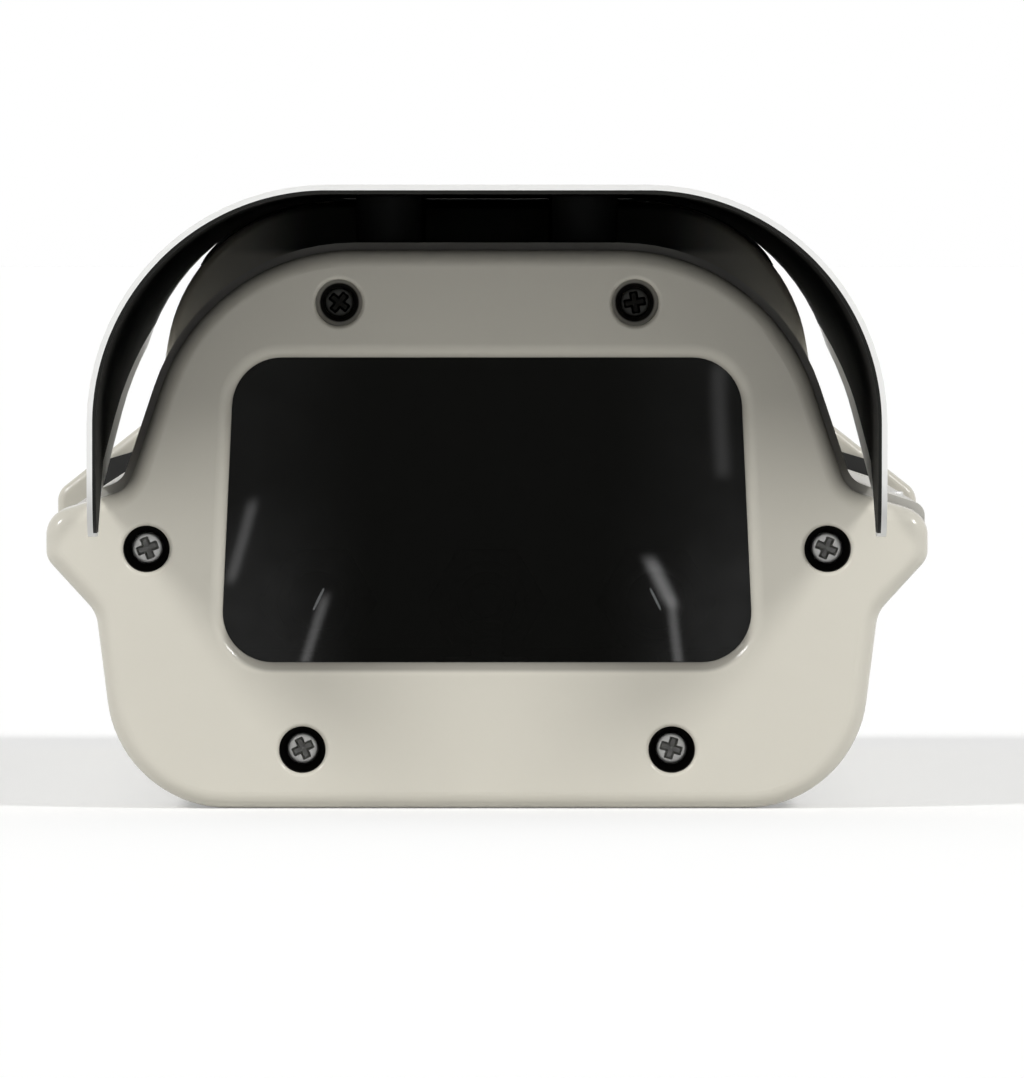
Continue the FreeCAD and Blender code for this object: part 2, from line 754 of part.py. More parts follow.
def make_lower_body():
    body = new_body("lower_body")
    sketch = new_sketch(body, "XZ", shell_front)
    outline(sketch, mirrored([
        (size.base_half_width, measure(0), size.base_round),
        (size.ear_root_half_width, size.ear_root_height, size.ear_root_round),
        (size.ear_half_width, size.ear_low_height, size.ear_low_round),
        (size.ear_half_width, size.parting_height, 0),
    ]))
    shell_length = shell_back - shell_front
    pad(body, sketch, shell_length)
    sketch = new_sketch(body, "XZ", shell_front)
    outline(sketch, mirrored([
        (size.base_half_width - size.wall, size.wall, size.base_round - size.wall),
        (size.ear_root_half_width - size.wall, size.ear_root_height, 0),
        (size.ear_root_half_width - size.wall, size.parting_height + BEYOND, 0),
    ]))
    pocket(body, sketch, shell_length)

    sketch = new_sketch(body, "XZ", bulkhead_back)
    ear_wall = size.ear_root_half_width - size.wall / 2
    side_wall = (size.base_half_width + size.ear_root_half_width - size.wall) / 2
    lip_low = tray_top + size.tray_play
    for side in (1, -1):
        side_rectangle(
            sketch, side, size.ledge_half_width, ear_wall,
            size.parting_height - size.ledge_thickness, size.parting_height)
        side_rectangle(
            sketch, side, size.rail_half_width, side_wall,
            size.tray_height - size.rail_thickness, size.tray_height)
        side_rectangle(sketch, side, size.rail_lip_half_width, side_wall, lip_low, lip_low + size.wall)
    inner_length = shell_back - bulkhead_back
    pad(body, sketch, inner_length)
    sketch = new_sketch(body, "XZ", bulkhead_back)
    circles(sketch, BODY_SCREWS, size.channel_radius)
    pad(body, sketch, inner_length)
    sketch = new_sketch(body, "XZ", bulkhead_back)
    rectangle(sketch, -size.pad_half_width, size.pad_half_width, size.wall / 2, size.pad_thickness)
    half_web = size.channel_radius / 2
    for x, z in LOW_SCREWS:
        rectangle(sketch, x - half_web, x + half_web, size.wall / 2, z - half_web)
    for side in (1, -1):
        side_rectangle(
            sketch, side, size.side_screw_half_width + half_web, ear_wall,
            size.side_screw_height - half_web, size.side_screw_height)
    pad(body, sketch, inner_length)
    sketch = new_sketch(body, "XZ", bulkhead_back)
    circles(sketch, BODY_SCREWS, size.screw_radius + size.screw_clearance)
    pocket(body, sketch, inner_length)
    sketch = new_sketch(body, "XZ", bulkhead_back)
    rectangle(
        sketch, -size.ear_half_width, size.ear_half_width, size.parting_height,
        size.parting_height + size.channel_radius)
    pocket(body, sketch, inner_length)

    # The left ear is cut away over the hinge, down to a shelf under the knuckles
    shelf = size.hinge_height - size.knuckle_radius - size.knuckle_gap / 2
    sketch = new_sketch(body, "XZ", shell_front)
    side_rectangle(
        sketch, -1, size.ear_root_half_width, size.ear_half_width + BEYOND, shelf, size.parting_height + BEYOND)
    pocket(body, sketch, shell_length)
    add_knuckles(body, first=0, web_low=shelf - size.wall / 2, web_high=size.hinge_height)
    sketch = new_sketch(body, "XZ", shell_front)
    circles(sketch, [HINGE_PLACE], size.hinge_pin_radius)
    pocket(body, sketch, shell_length)

    # Threads for the captive screws in the right ear, for the tray and for the mounting bracket
    sketch = new_sketch(body, "XY", size.parting_height)
    circles(sketch, CAPTIVE_PLACES, size.captive_radius + size.captive_play)
    pocket(body, sketch, size.captive_reach + BEYOND, backwards=True)
    sketch = new_sketch(body, "XY", size.tray_height)
    circles(sketch, TRAY_PLACES, size.screw_radius)
    pocket(body, sketch, size.rail_thickness, backwards=True)
    sketch = new_sketch(body, "XY", 0)
    circles(sketch, MOUNT_PLACES, size.mount_hole_radius)
    pocket(body, sketch, size.mount_hole_depth)


def add_knuckles(body, first, web_low, web_high):
    """Every second knuckle of the hinge, each with the web that joins it to the shell."""
    pitch = (shell_back - shell_front - size.knuckle_gap) / size.knuckle_count
    length = pitch - size.knuckle_gap
    for place in range(first, int(size.knuckle_count.number), 2):
        start = shell_front + size.knuckle_gap + pitch * place
        sketch = new_sketch(body, "XZ", start)
        rectangle(
            sketch, -size.hinge_half_width, -size.ear_root_half_width + size.fit_gap, web_low, web_high)
        pad(body, sketch, length)
        sketch = new_sketch(body, "XZ", start)
        circles(sketch, [HINGE_PLACE], size.knuckle_radius)
        pad(body, sketch, length)


# Lid: the upper shell, with its half of the ears

def make_upper_cover():
    body = new_body("upper_cover")
    cover_front = shell_front + size.lid_end_gap
    cover_length = shell_back - shell_front - size.lid_end_gap * 2
    step = size.cover_step
    sketch = new_sketch(body, "XZ", cover_front)
    outline(sketch, mirrored([
        (size.ear_half_width, lid_bottom, 0),
        (size.ear_half_width, size.ear_top_height + step, size.ear_top_round / 2),
        (size.lobe_foot_half_width + step, size.lobe_foot_height + step, size.lobe_foot_round - step),
        (size.lobe_top_half_width + step, size.cap_height + step, size.lobe_round + step),
    ]))
    pad(body, sketch, cover_length)
    inset = size.wall - step
    sketch = new_sketch(body, "XZ", cover_front)
    outline(sketch, mirrored([
        (size.lobe_foot_half_width - inset, lid_bottom - BEYOND, 0),
        (size.lobe_foot_half_width - inset, size.lobe_foot_height, 0),
        (size.lobe_top_half_width - inset, size.cap_height - inset, size.lobe_round - inset),
    ]))
    pocket(body, sketch, cover_length)
    sketch = new_sketch(body, "XZ", cover_front)
    side_rectangle(
        sketch, -1, size.ear_root_half_width, size.ear_half_width + BEYOND,
        lid_bottom - BEYOND, size.lobe_foot_height + step)
    pocket(body, sketch, cover_length)
    web_high = size.hinge_height + size.knuckle_radius
    add_knuckles(body, first=1, web_low=size.hinge_height, web_high=web_high)
    sketch = new_sketch(body, "XZ", cover_front)
    circles(sketch, [HINGE_PLACE], size.hinge_pin_radius + size.hinge_play)
    pocket(body, sketch, cover_length)
    sketch = new_sketch(body, "XY", lid_bottom)
    circles(sketch, CAPTIVE_PLACES, size.captive_radius + size.captive_play)
    pocket(body, sketch, size.wall * 4)
    sketch = new_sketch(body, "XY", size.captive_seat_height)
    circles(sketch, CAPTIVE_PLACES, size.captive_head_radius + size.fit_gap)
    pocket(body, sketch, size.wall * 4)
    sketch = new_sketch(body, "XY", lid_top)
    circles(sketch, SHIELD_PLACES, size.shield_screw_radius + size.screw_clearance)
    pocket(body, sketch, size.wall * 2, backwards=True)


def make_lid_gasket():
    """Two rubber strips on the ledges, one along each side."""
    body = new_body("lid_gasket")
    inner = size.lobe_foot_half_width - size.fit_gap
    for side in (1, -1):
        sketch = new_sketch(body, "XZ", shell_front)
        side_rectangle(sketch, side, inner, inner + size.lid_gasket_width, size.parting_height, lid_bottom)
        pad(body, sketch, shell_back - shell_front)


def make_hinge_pin():
    body = new_body("hinge_pin")
    sketch = new_sketch(body, "XZ", shell_front + size.knuckle_gap)
    circles(sketch, [HINGE_PLACE], size.hinge_pin_radius)
    pad(body, sketch, shell_back - shell_front - size.knuckle_gap * 2)


# Captive screws that hold the lid down, each with the washer that keeps it in the lid

def make_captive_screw(label, washer_label, place):
    x, y = place
    body = new_body(label)
    sketch = new_sketch(body, "XY", size.captive_seat_height)
    circles(sketch, [place], size.captive_head_radius)
    pad(body, sketch, size.captive_head_height)
    dress(body, "Fillet", edges_at(body, "Z", size.captive_seat_height + size.captive_head_height), size.fit_gap)
    sketch = new_sketch(body, "XY", size.captive_seat_height)
    circles(sketch, [place], size.captive_radius)
    shank = size.captive_seat_height - size.parting_height + size.captive_reach
    pad(body, sketch, shank, backwards=True)
    sketch = new_sketch(body, "XY", size.captive_seat_height + size.captive_head_height)
    hexagon(sketch, x, y, size.captive_socket)
    pocket(body, sketch, size.captive_head_height * DOME, backwards=True)

    washer = new_body(washer_label)
    sketch = new_sketch(washer, "XY", lid_bottom)
    circles(sketch, [place], size.captive_washer_radius)
    circles(sketch, [place], size.captive_radius + size.screw_clearance)
    pad(washer, sketch, size.captive_washer_thickness, backwards=True)


# Rear casting: a wide collar under the shield's rear edge with a rubber pad on top, and the pot with the cable glands

def make_rear_cap():
    body = new_body("rear_cap")
    sketch = new_sketch(body, "XZ", collar_back)
    outline(sketch, housing_section())
    pad(body, sketch, rear - collar_back)
    dress(body, "Fillet", edges_at(body, "Y", rear), size.rear_edge_round)
    sketch = new_sketch(body, "XZ", rear_front)
    outline(sketch, mirrored([
        (size.collar_base_half_width, measure(0), size.collar_base_round),
        (size.collar_root_half_width, size.collar_root_height, size.ear_root_round),
        (size.collar_ear_half_width, size.collar_ear_low_height, size.ear_low_round),
        (size.collar_ear_half_width, size.collar_ear_top_height, size.ear_low_round),
        (size.collar_foot_half_width, size.collar_foot_height, size.collar_foot_round),
        (size.collar_top_half_width, collar_height, size.collar_round),
    ]))
    pad(body, sketch, size.collar_depth)
    dress(body, "Fillet", edges_at(body, "Y", rear_front), size.collar_edge_round)
    sketch = new_sketch(body, "XZ", rear_front)
    outline(sketch, bore_section(size.rear_wall))
    pocket(body, sketch, size.rear_depth - size.rear_wall)
    sketch = new_sketch(body, "XZ", rear_front)
    circles(sketch, BODY_SCREWS, size.boss_radius)
    pad(body, sketch, size.rear_depth - size.rear_wall)
    sketch = new_sketch(body, "XZ", rear)
    circles(sketch, BODY_SCREWS, size.recess_radius)
    pocket(body, sketch, size.recess_depth, backwards=True)
    dress(body, "Fillet", rims_at(body, "Y", rear, size.recess_radius), size.recess_edge_round)
    sketch = new_sketch(body, "XZ", rear)
    circles(sketch, BODY_SCREWS, size.screw_radius + size.screw_clearance)
    pocket(body, sketch, size.rear_depth, backwards=True)
    sketch = new_sketch(body, "XZ", rear)
    circles(sketch, GLAND_PLACES, size.gland_thread_radius + size.screw_clearance)
    pocket(body, sketch, size.rear_depth, backwards=True)

    strip = new_body("collar_pad")
    sketch = new_sketch(strip, "XZ", rear_front + size.collar_edge_round)
    half = size.collar_pad_half_length
    rectangle(sketch, -half, half, collar_height, collar_height + size.collar_pad_thickness)
    pad(strip, sketch, size.collar_depth - size.collar_edge_round)


def make_glands():
    """Three cable glands with their caps, rubber inserts and inner nuts."""
    bodies = new_body("gland_bodies")
    sketch = new_sketch(bodies, "XZ", rear)
    for x, z in GLAND_PLACES:
        hexagon(sketch, x, z, size.gland_hex_radius)
    pad(bodies, sketch, size.gland_hex_depth)
    neck_front = rear + size.gland_hex_depth
    sketch = new_sketch(bodies, "XZ", neck_front)
    circles(sketch, GLAND_PLACES, size.gland_neck_radius)
    pad(bodies, sketch, size.gland_neck_length)
    thread_length = size.rear_wall + size.gland_nut_depth + BEYOND
    sketch = new_sketch(bodies, "XZ", rear)
    circles(sketch, GLAND_PLACES, size.gland_thread_radius)
    pad(bodies, sketch, thread_length, backwards=True)
    sketch = new_sketch(bodies, "XZ", rear - thread_length)
    circles(sketch, GLAND_PLACES, size.gland_bore_radius)
    pocket(bodies, sketch, thread_length + size.gland_hex_depth + size.gland_neck_length)

    caps = new_body("gland_caps")
    sketch = new_sketch(caps, "XZ", neck_front)
    circles(sketch, GLAND_PLACES, size.gland_cap_radius)
    pad(caps, sketch, size.gland_cap_length)
    cap_end = neck_front + size.gland_cap_length
    dress(caps, "Fillet", edges_at(caps, "Y", cap_end), size.gland_cap_round)
    sketch = new_sketch(caps, "XZ", neck_front)
    circles(sketch, GLAND_PLACES, size.gland_neck_radius + size.screw_clearance)
    pocket(caps, sketch, size.gland_neck_length + size.gland_seal_proud)
    sketch = new_sketch(caps, "XZ", neck_front)
    circles(sketch, GLAND_PLACES, size.gland_mouth_radius)
    pocket(caps, sketch, size.gland_cap_length)

    seals = new_body("gland_seals")
    sketch = new_sketch(seals, "XZ", neck_front)
    circles(sketch, GLAND_PLACES, size.gland_bore_radius)
    circles(sketch, GLAND_PLACES, size.cable_radius)
    pad(seals, sketch, size.gland_neck_length + size.gland_seal_proud)

    nuts = new_body("gland_locknuts")
    sketch = new_sketch(nuts, "XZ", rear - size.rear_wall)
    for x, z in GLAND_PLACES:
        hexagon(sketch, x, z, size.gland_hex_radius)
    circles(sketch, GLAND_PLACES, size.gland_thread_radius + size.screw_clearance)
    pad(nuts, sketch, size.gland_nut_depth, backwards=True)


# Sunshield: one bent sheet, its sides cut on a slope that rises to the rear

def make_sunshield():
    body = new_body("sunshield")
    sketch = new_sketch(body, "XZ", shield_front)
    half, thick = size.shield_half_width, size.shield_thickness
    outline(sketch, [
        (half + thick, measure(0), 0),
        (half + thick, shield_underside + thick, size.shield_round + thick),
        (-half - thick, shield_underside + thick, size.shield_round + thick),
        (-half - thick, measure(0), 0),
        (-half, measure(0), 0),
        (-half, shield_underside, size.shield_round),
        (half, shield_underside, size.shield_round),
        (half, measure(0), 0),
    ])
    pad(body, sketch, size.shield_length)
    side_low, past_back, past_front = measure(-BEYOND), shield_back + BEYOND, shield_front - BEYOND
    sketch = new_sketch(body, "YZ", -half - thick - BEYOND)
    outline(sketch, [
        (past_front, side_low, 0),
        (past_back, side_low, 0),
        (past_back, size.shield_rear_height, 0),
        (front - BEYOND, size.shield_side_height, size.shield_nose_round),
        (front - size.shield_nose_length, size.shield_nose_height, size.shield_nose_round / 2),
        (shield_front, size.shield_nose_height, size.shield_nose_round),
        (shield_front, shield_underside - size.shield_round, 0),
        (past_front, shield_underside - size.shield_round, 0),
    ])
    pocket(body, sketch, (half + thick + BEYOND) * 2)
    sketch = new_sketch(body, "XY", shield_underside)
    hole_radius = size.shield_screw_radius + size.screw_clearance
    circles(sketch, SHIELD_PLACES, hole_radius)
    pocket(body, sketch, thick)
    shield_top = shield_underside + thick
    dress(body, "Chamfer", rims_at(body, "Z", shield_top, hole_radius), size.shield_head_bevel)

    spacers = new_body("shield_spacers")
    sketch = new_sketch(spacers, "XY", lid_top)
    circles(sketch, SHIELD_PLACES, size.spacer_radius)
    circles(sketch, SHIELD_PLACES, hole_radius)
    pad(spacers, sketch, size.shield_standoff)

    screws = new_body("shield_screws")
    sketch = new_sketch(screws, "XY", shield_top)
    circles(sketch, SHIELD_PLACES, size.shield_head_radius)
    pad(screws, sketch, thick, backwards=True)
    dress(screws, "Chamfer", edges_at(screws, "Z", shield_underside), size.shield_head_bevel)
    nut_top = lid_top - size.wall
    sketch = new_sketch(screws, "XY", shield_top)
    circles(sketch, SHIELD_PLACES, size.shield_screw_radius)
    pad(screws, sketch, shield_top - nut_top + size.shield_nut_height + BEYOND, backwards=True)
    cross_recess(screws, "XY", shield_top, SHIELD_PLACES, backwards=True)

    nuts = new_body("shield_nuts")
    sketch = new_sketch(nuts, "XY", nut_top)
    for x, y in SHIELD_PLACES:
        hexagon(sketch, x, y, size.shield_nut_radius)
    circles(sketch, SHIELD_PLACES, size.shield_screw_radius)
    pad(nuts, sketch, size.shield_nut_height, backwards=True)


# Tray on the rails, with the slot for the camera's screw

def make_tray():
    body = new_body("camera_tray")
    sketch = new_sketch(body, "XY", size.tray_height)
    half_long = size.tray_length / 2
    rectangle(sketch, -size.tray_half_width, size.tray_half_width, -half_long, half_long)
    slot_half = size.tray_slot_length / 2
    rectangle(
        sketch, -size.tray_slot_half_width, size.tray_slot_half_width, -slot_half, slot_half,
        size.tray_slot_half_width * SLOT_END)
    for side in (-1, 1):
        middle = side * size.tray_window_half_width
        half = size.tray_window_width / 2
        rectangle(sketch, middle - half, middle + half, -slot_half, slot_half, half * SLOT_END)
    pad(body, sketch, size.tray_thickness)
    sketch = new_sketch(body, "XY", size.tray_height)
    circles(sketch, TRAY_PLACES, size.screw_radius + size.screw_clearance)
    pocket(body, sketch, size.tray_thickness)

    domed_screws(
        "tray_screws", "XY", tray_top, TRAY_PLACES,
        (size.screw_head_radius, size.screw_head_height),
        (size.screw_radius, size.tray_thickness + size.tray_screw_reach), crossed=False, backwards=True)

    screw = new_body("camera_screw")
    knob_top = size.tray_height - size.camera_knob_play
    sketch = new_sketch(screw, "XY", knob_top)
    circles(sketch, [(0, 0)], size.camera_knob_radius)
    pad(screw, sketch, size.camera_knob_height, backwards=True)
    dress(screw, "Chamfer", edges_at(screw, "Z", knob_top - size.camera_knob_height), size.fit_gap)
    neck_top = tray_top + size.camera_washer_thickness
    sketch = new_sketch(screw, "XY", knob_top)
    circles(sketch, [(0, 0)], size.camera_neck_radius)
    pad(screw, sketch, neck_top - knob_top)
    sketch = new_sketch(screw, "XY", neck_top)
    circles(sketch, [(0, 0)], size.camera_thread_radius)
    pad(screw, sketch, size.camera_screw_rise)

    washer = new_body("camera_washer")
    sketch = new_sketch(washer, "XY", tray_top)
    circles(sketch, [(0, 0)], size.camera_washer_radius)
    circles(sketch, [(0, 0)], size.camera_neck_radius)
    pad(washer, sketch, size.camera_washer_thickness)


make_front_cap()
make_glass_parts()
make_gasket("front_gasket", cap_back)
make_bulkhead()
make_lower_body()
make_upper_cover()
make_lid_gasket()
make_hinge_pin()
make_captive_screw("captive_screw_front", "captive_washer_front", CAPTIVE_PLACES[0])
make_captive_screw("captive_screw_rear", "captive_washer_rear", CAPTIVE_PLACES[1])
make_rear_gasket()
make_rear_cap()
make_glands()
make_sunshield()
make_tray()
front_seat = front + size.recess_depth
domed_screws(
    "front_screws", "XZ", front_seat, FRONT_SCREWS,
    (size.screw_head_radius, size.screw_head_height),
    (size.screw_radius, bulkhead_back - front_seat + size.screw_grip))
rear_seat = rear - size.recess_depth
domed_screws(
    "rear_screws", "XZ", rear_seat, BODY_SCREWS,
    (size.screw_head_radius, size.screw_head_height),
    (size.screw_radius, rear_seat - shell_back + size.screw_grip), backwards=True)

# Check every object, then write each sub-part
doc.recompute()
for thing in doc.Objects:
    if "Invalid" in thing.State or "Error" in thing.State:
        raise RuntimeError("%s: %s" % (thing.Name, thing.State))
os.makedirs("parts", exist_ok=True)
for thing in doc.Objects:
    if thing.TypeId != "PartDesign::Body":
        continue
    if thing.Shape.isNull() or not thing.Shape.isValid():
        raise RuntimeError("no valid shape: " + thing.Label)
    thing.Shape.exportStep("parts/%s.step" % thing.Label)
    print(thing.Label, len(thing.Shape.Solids), round(thing.Shape.Volume))
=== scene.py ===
"""Finishes, fine pieces, stage and camera for a security camera housing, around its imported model."""

import math

import bmesh
import bpy
import numpy as np
from bpy.props import FloatProperty, FloatVectorProperty, IntProperty, PointerProperty
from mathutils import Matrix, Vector


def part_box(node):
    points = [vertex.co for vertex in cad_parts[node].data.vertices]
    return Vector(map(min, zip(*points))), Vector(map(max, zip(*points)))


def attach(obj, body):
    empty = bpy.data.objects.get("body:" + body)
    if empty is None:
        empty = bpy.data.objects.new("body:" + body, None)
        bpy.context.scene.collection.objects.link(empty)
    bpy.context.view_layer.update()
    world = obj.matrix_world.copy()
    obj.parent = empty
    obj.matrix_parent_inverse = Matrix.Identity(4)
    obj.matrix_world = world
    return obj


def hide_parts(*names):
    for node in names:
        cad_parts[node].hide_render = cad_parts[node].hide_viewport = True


bl_info = {
    "name": "Camera Housing Dresser",
    "version": (1, 0, 0),
    "blender": (4, 5, 0),
    "location": "View3D > Sidebar > Housing",
    "description": "Builds the finishes and fine pieces of a security camera housing",
    "category": "Object",
}

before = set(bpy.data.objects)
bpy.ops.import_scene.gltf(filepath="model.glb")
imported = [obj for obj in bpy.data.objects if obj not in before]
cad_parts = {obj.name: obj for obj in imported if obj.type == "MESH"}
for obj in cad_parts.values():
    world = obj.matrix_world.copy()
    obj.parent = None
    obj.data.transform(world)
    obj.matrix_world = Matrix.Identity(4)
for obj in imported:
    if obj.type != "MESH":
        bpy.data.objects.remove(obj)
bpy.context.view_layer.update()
MM = 0.001
WHITE = (1, 1, 1, 1)

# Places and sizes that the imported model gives, in metres
CAP_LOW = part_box("front_cap")[0]
SHIELD_LOW, SHIELD_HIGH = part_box("sunshield")


# ---------------------------------------------------------------- settings

def colour(name, description, rgb):
    return FloatVectorProperty(
        name=name, description=description, subtype="COLOR", size=3, min=0, max=1, default=rgb)


def length(name, description, metres):
    return FloatProperty(name=name, description=description, unit="LENGTH", default=metres, precision=5)


def number(name, description, value):
    return IntProperty(name=name, description=description, min=1, default=value)


def amount(name, description, value):
    return FloatProperty(name=name, description=description, min=0, default=value)


def angle(name, description, degrees):
    return FloatProperty(name=name, description=description, subtype="ANGLE", default=math.radians(degrees))


class HousingFinishSettings(bpy.types.PropertyGroup):
    cap: colour("Cap enamel", "Colour of the front and rear castings", (0.62, 0.594, 0.517))
    # Painted shade of the castings: dark inside the screw recesses, fainter on the window's lower ledge and the rear
    # collar's hidden face
    cap_shade: colour("Screw wells", "Colour inside the deep screw recesses", (0.022, 0.020, 0.018))
    shell: colour("Shell coat", "Colour of the lower body and the lid", (0.60, 0.585, 0.54))
    shield: colour("Shield coat", "Colour of the sunshield's outer side", (0.77, 0.77, 0.755))
    # Painted shade: black on the sunshield's inner side, for the deep shade under it
    painted_shade: colour("Shield lining", "Colour of the sunshield's inner side", (0.012, 0.012, 0.011))
    inner: colour("Inner paint", "Colour of the painted pieces inside", (0.014, 0.014, 0.014))
    rubber: colour("Rubber", "Colour of the gaskets and seals", (0.010, 0.010, 0.010))
    steel: colour("Screw steel", "Colour of the screws", (0.80, 0.79, 0.76))
    # Painted shade: the two top screws under the sunshield get a dark copy of the screw steel
    top_screw_shade: colour("Dark steel", "Colour of the two blackened screws under the sunshield", (0.030, 0.030, 0.028))
    spacer: colour("Spacer nylon", "Colour of the spacers under the sunshield", (0.022, 0.022, 0.021))
    gland: colour("Gland nylon", "Colour of the cable glands", (0.20, 0.20, 0.195))
    nylon: colour("Nylon", "Colour of the washers", (0.75, 0.73, 0.68))
    glass: colour("Glass tint", "Tint of the window, met once at each of its two sides", (0.10, 0.104, 0.106))
    # Where the sunshield's painted shade stops short of the sheet's edges, and how far it laps over the front edge
    shield_shade_margin: length("Lining margin", "White strip left along the sheet's sloping edge", 4.4 * MM)
    nose_margin: length("Nose margin", "White strip left along the lower edge of the sheet's nose", 0.7 * MM)
    shield_shade_lap: length("Lining lap", "How far the lining laps over the inner part of the front edge", 0.6 * MM)


class HousingFixingSettings(bpy.types.PropertyGroup):
    head_columns: number("Head columns", "Points round a screw head", 96)
    shank_columns: number("Shank columns", "Points round a threaded shank", 16)
    thread_depth: length("Thread depth", "Depth of the small screws' threads", 0.22 * MM)
    cross_reach: length("Cross reach", "From the middle of a cross recess to the end of an arm", 1.85 * MM)
    cross_width: length("Cross width", "Width of an arm of a cross recess", 1.2 * MM)
    cross_depth: length("Cross depth", "Depth of a cross recess at its middle", 1.5 * MM)
    knurls: number("Knurls", "Grooves round a captive screw's head", 36)
    cap_ribs: number("Gland ribs", "Grip grooves round a gland's cap", 20)
    knob_ribs: number("Knob ribs", "Grip grooves round the camera screw's knob", 24)
    rib_depth: length("Rib depth", "Depth of the grip grooves", 0.5 * MM)


class HousingStageSettings(bpy.types.PropertyGroup):
    distance: length("Camera distance", "From the front of the cap to the camera", 3.0)
    eye_height: length("Eye height", "Height of the camera over the floor", 0.1025)
    aim_side: length("Aim side", "How far to the right of the middle the camera looks", 0.0045)
    aim_height: length("Aim height", "Height over the floor that the camera looks at", 0.0486)
    focal: amount("Focal length", "Lens, in millimetres", 556.0)
    floor: colour("Floor", "Colour of the floor", (0.72, 0.72, 0.715))
    floor_glow: amount("Floor glow", "White that the floor shows the camera on top of its own light", 0.3)
    floor_side: length("Floor side", "Half the width of the floor", 60.0)
    sky: amount("Sky", "Strength of the even light all round", 0.54)
    key: amount("Key", "Strength of each of the two lamps over the front", 1.6)
    key_height: angle("Key height", "Angle of the lamps over the floor", 35)
    key_spread: angle("Key spread", "Angle of each lamp to the left or right", 50)
    key_width: angle("Key width", "Angle that each lamp fills", 14)
    # The dark card glows with painted reflections, which only the window shows
    card_start: length("Card start", "From the front of the cap to the dark card that the window mirrors", 0.7)
    card_end: length("Card end", "From the front of the cap to the far end of the dark card", 14.0)
    card_reach: length("Card reach", "Half the card's width at the cap, which grows with the distance", 0.0535)


# ---------------------------------------------------------------- node helpers

def set_values(node, values):
    """Values for a node's named inputs, with _ for a space."""
    for key, value in values.items():
        node.inputs[key.replace("_", " ")].default_value = value
    return node


def put(tree, kind, **values):
    """A shader node of a kind in a tree, with values for its named inputs."""
    return set_values(tree.nodes.new(kind), values)


def wire(tree, source, target):
    tree.links.new(source, target)


class Value:
    """What a socket of a node tree gives; arithmetic with it adds Math nodes to the tree."""

    def __init__(self, tree, socket):
        self.tree, self.socket = tree, socket

    def math(self, operation, *others):
        """A Math node on this value and on other values or numbers."""
        made = put(self.tree, "ShaderNodeMath")
        made.operation = operation
        for operand, target in zip((self, *others), made.inputs):
            feed(operand, target)
        return Value(self.tree, made.outputs[0])

    def __add__(self, other):
        return self.math("ADD", other)

    def __sub__(self, other):
        return self.math("SUBTRACT", other)

    def __mul__(self, other):
        return self.math("MULTIPLY", other)

    def __truediv__(self, other):
        return self.math("DIVIDE", other)

    def __lt__(self, other):
        return self.math("LESS_THAN", other)

    def __gt__(self, other):
        return self.math("GREATER_THAN", other)

    def __abs__(self):
        return self.math("ABSOLUTE")


def feed(value, target):
    """A socket takes a value or a number; None leaves it as it is."""
    if isinstance(value, Value):
        wire(value.tree, value.socket, target)
    elif value is not None:
        target.default_value = value


def largest(first, *others):
    """The largest of values and numbers."""
    for other in others:
        first = first.math("MAXIMUM", other)
    return first


def ramp(value, low, high):
    """0 at low and 1 at high, with a soft start and end."""
    made = put(value.tree, "ShaderNodeMapRange", **{"From Min": low, "From Max": high})
    made.interpolation_type = "SMOOTHSTEP"
    feed(value, made.inputs["Value"])
    return Value(value.tree, made.outputs["Result"])


def coordinate(tree, kind="Object"):
    """A coordinate of the surface as a vector."""
    return Value(tree, put(tree, "ShaderNodeTexCoord").outputs[kind])


def parts_of(vector):
    """The x, y and z of a vector."""
    split = put(vector.tree, "ShaderNodeSeparateXYZ")
    feed(vector, split.inputs[0])
    return [Value(vector.tree, part) for part in split.outputs]


def vector_of(*parts):
    """A vector of its parts; None stands for 0."""
    joined = put(parts[0].tree, "ShaderNodeCombineXYZ")
    for part, target in zip(parts, joined.inputs):
        feed(part, target)
    return Value(parts[0].tree, joined.outputs[0])


def vector_math(operation, first, second=None, scale=None, output="Value"):
    """A Vector Math node on values."""
    made = put(first.tree, "ShaderNodeVectorMath")
    made.operation = operation
    for operand, target in zip((first, second, None, scale), made.inputs):
        feed(operand, target)
    return Value(first.tree, made.outputs[output])


def noise(vector, scale, **values):
    """A noise over a vector; its scale is a number or a value."""
    made = put(vector.tree, "ShaderNodeTexNoise", **values)
    feed(vector, made.inputs["Vector"])
    feed(scale, made.inputs["Scale"])
    return Value(vector.tree, made.outputs["Fac"])


def surface_group(name, inputs, fill):
    """A texture group that scales its colour, sets the gloss and raises the normal.

    The inputs are a dictionary of sockets and their defaults. fill(place, given) takes the place on the surface and
    the inputs' values, and gives the tone, the roughness, the height and the height's distance."""
    group = bpy.data.node_groups.new(name, "ShaderNodeTree")
    for label, value in inputs.items():
        kind = "NodeSocketColor" if label == "Color" else "NodeSocketFloat"
        group.interface.new_socket(label, in_out="INPUT", socket_type=kind).default_value = value
    for label, kind in (
            ("Color", "NodeSocketColor"), ("Roughness", "NodeSocketFloat"), ("Normal", "NodeSocketVector")):
        group.interface.new_socket(label, in_out="OUTPUT", socket_type=kind)
    sockets, result = group.nodes.new("NodeGroupInput").outputs, group.nodes.new("NodeGroupOutput").inputs
    given = {label: Value(group, sockets[label]) for label in inputs}
    tone, gloss, height, distance = fill(coordinate(group), given)
    bump = put(group, "ShaderNodeBump", Strength=1.0)
    feed(distance, bump.inputs["Distance"])
    feed(height, bump.inputs["Height"])
    feed(vector_math("SCALE", given["Color"], scale=tone, output="Vector"), result["Color"])
    feed(gloss, result["Roughness"])
    wire(group, bump.outputs["Normal"], result["Normal"])
    return group


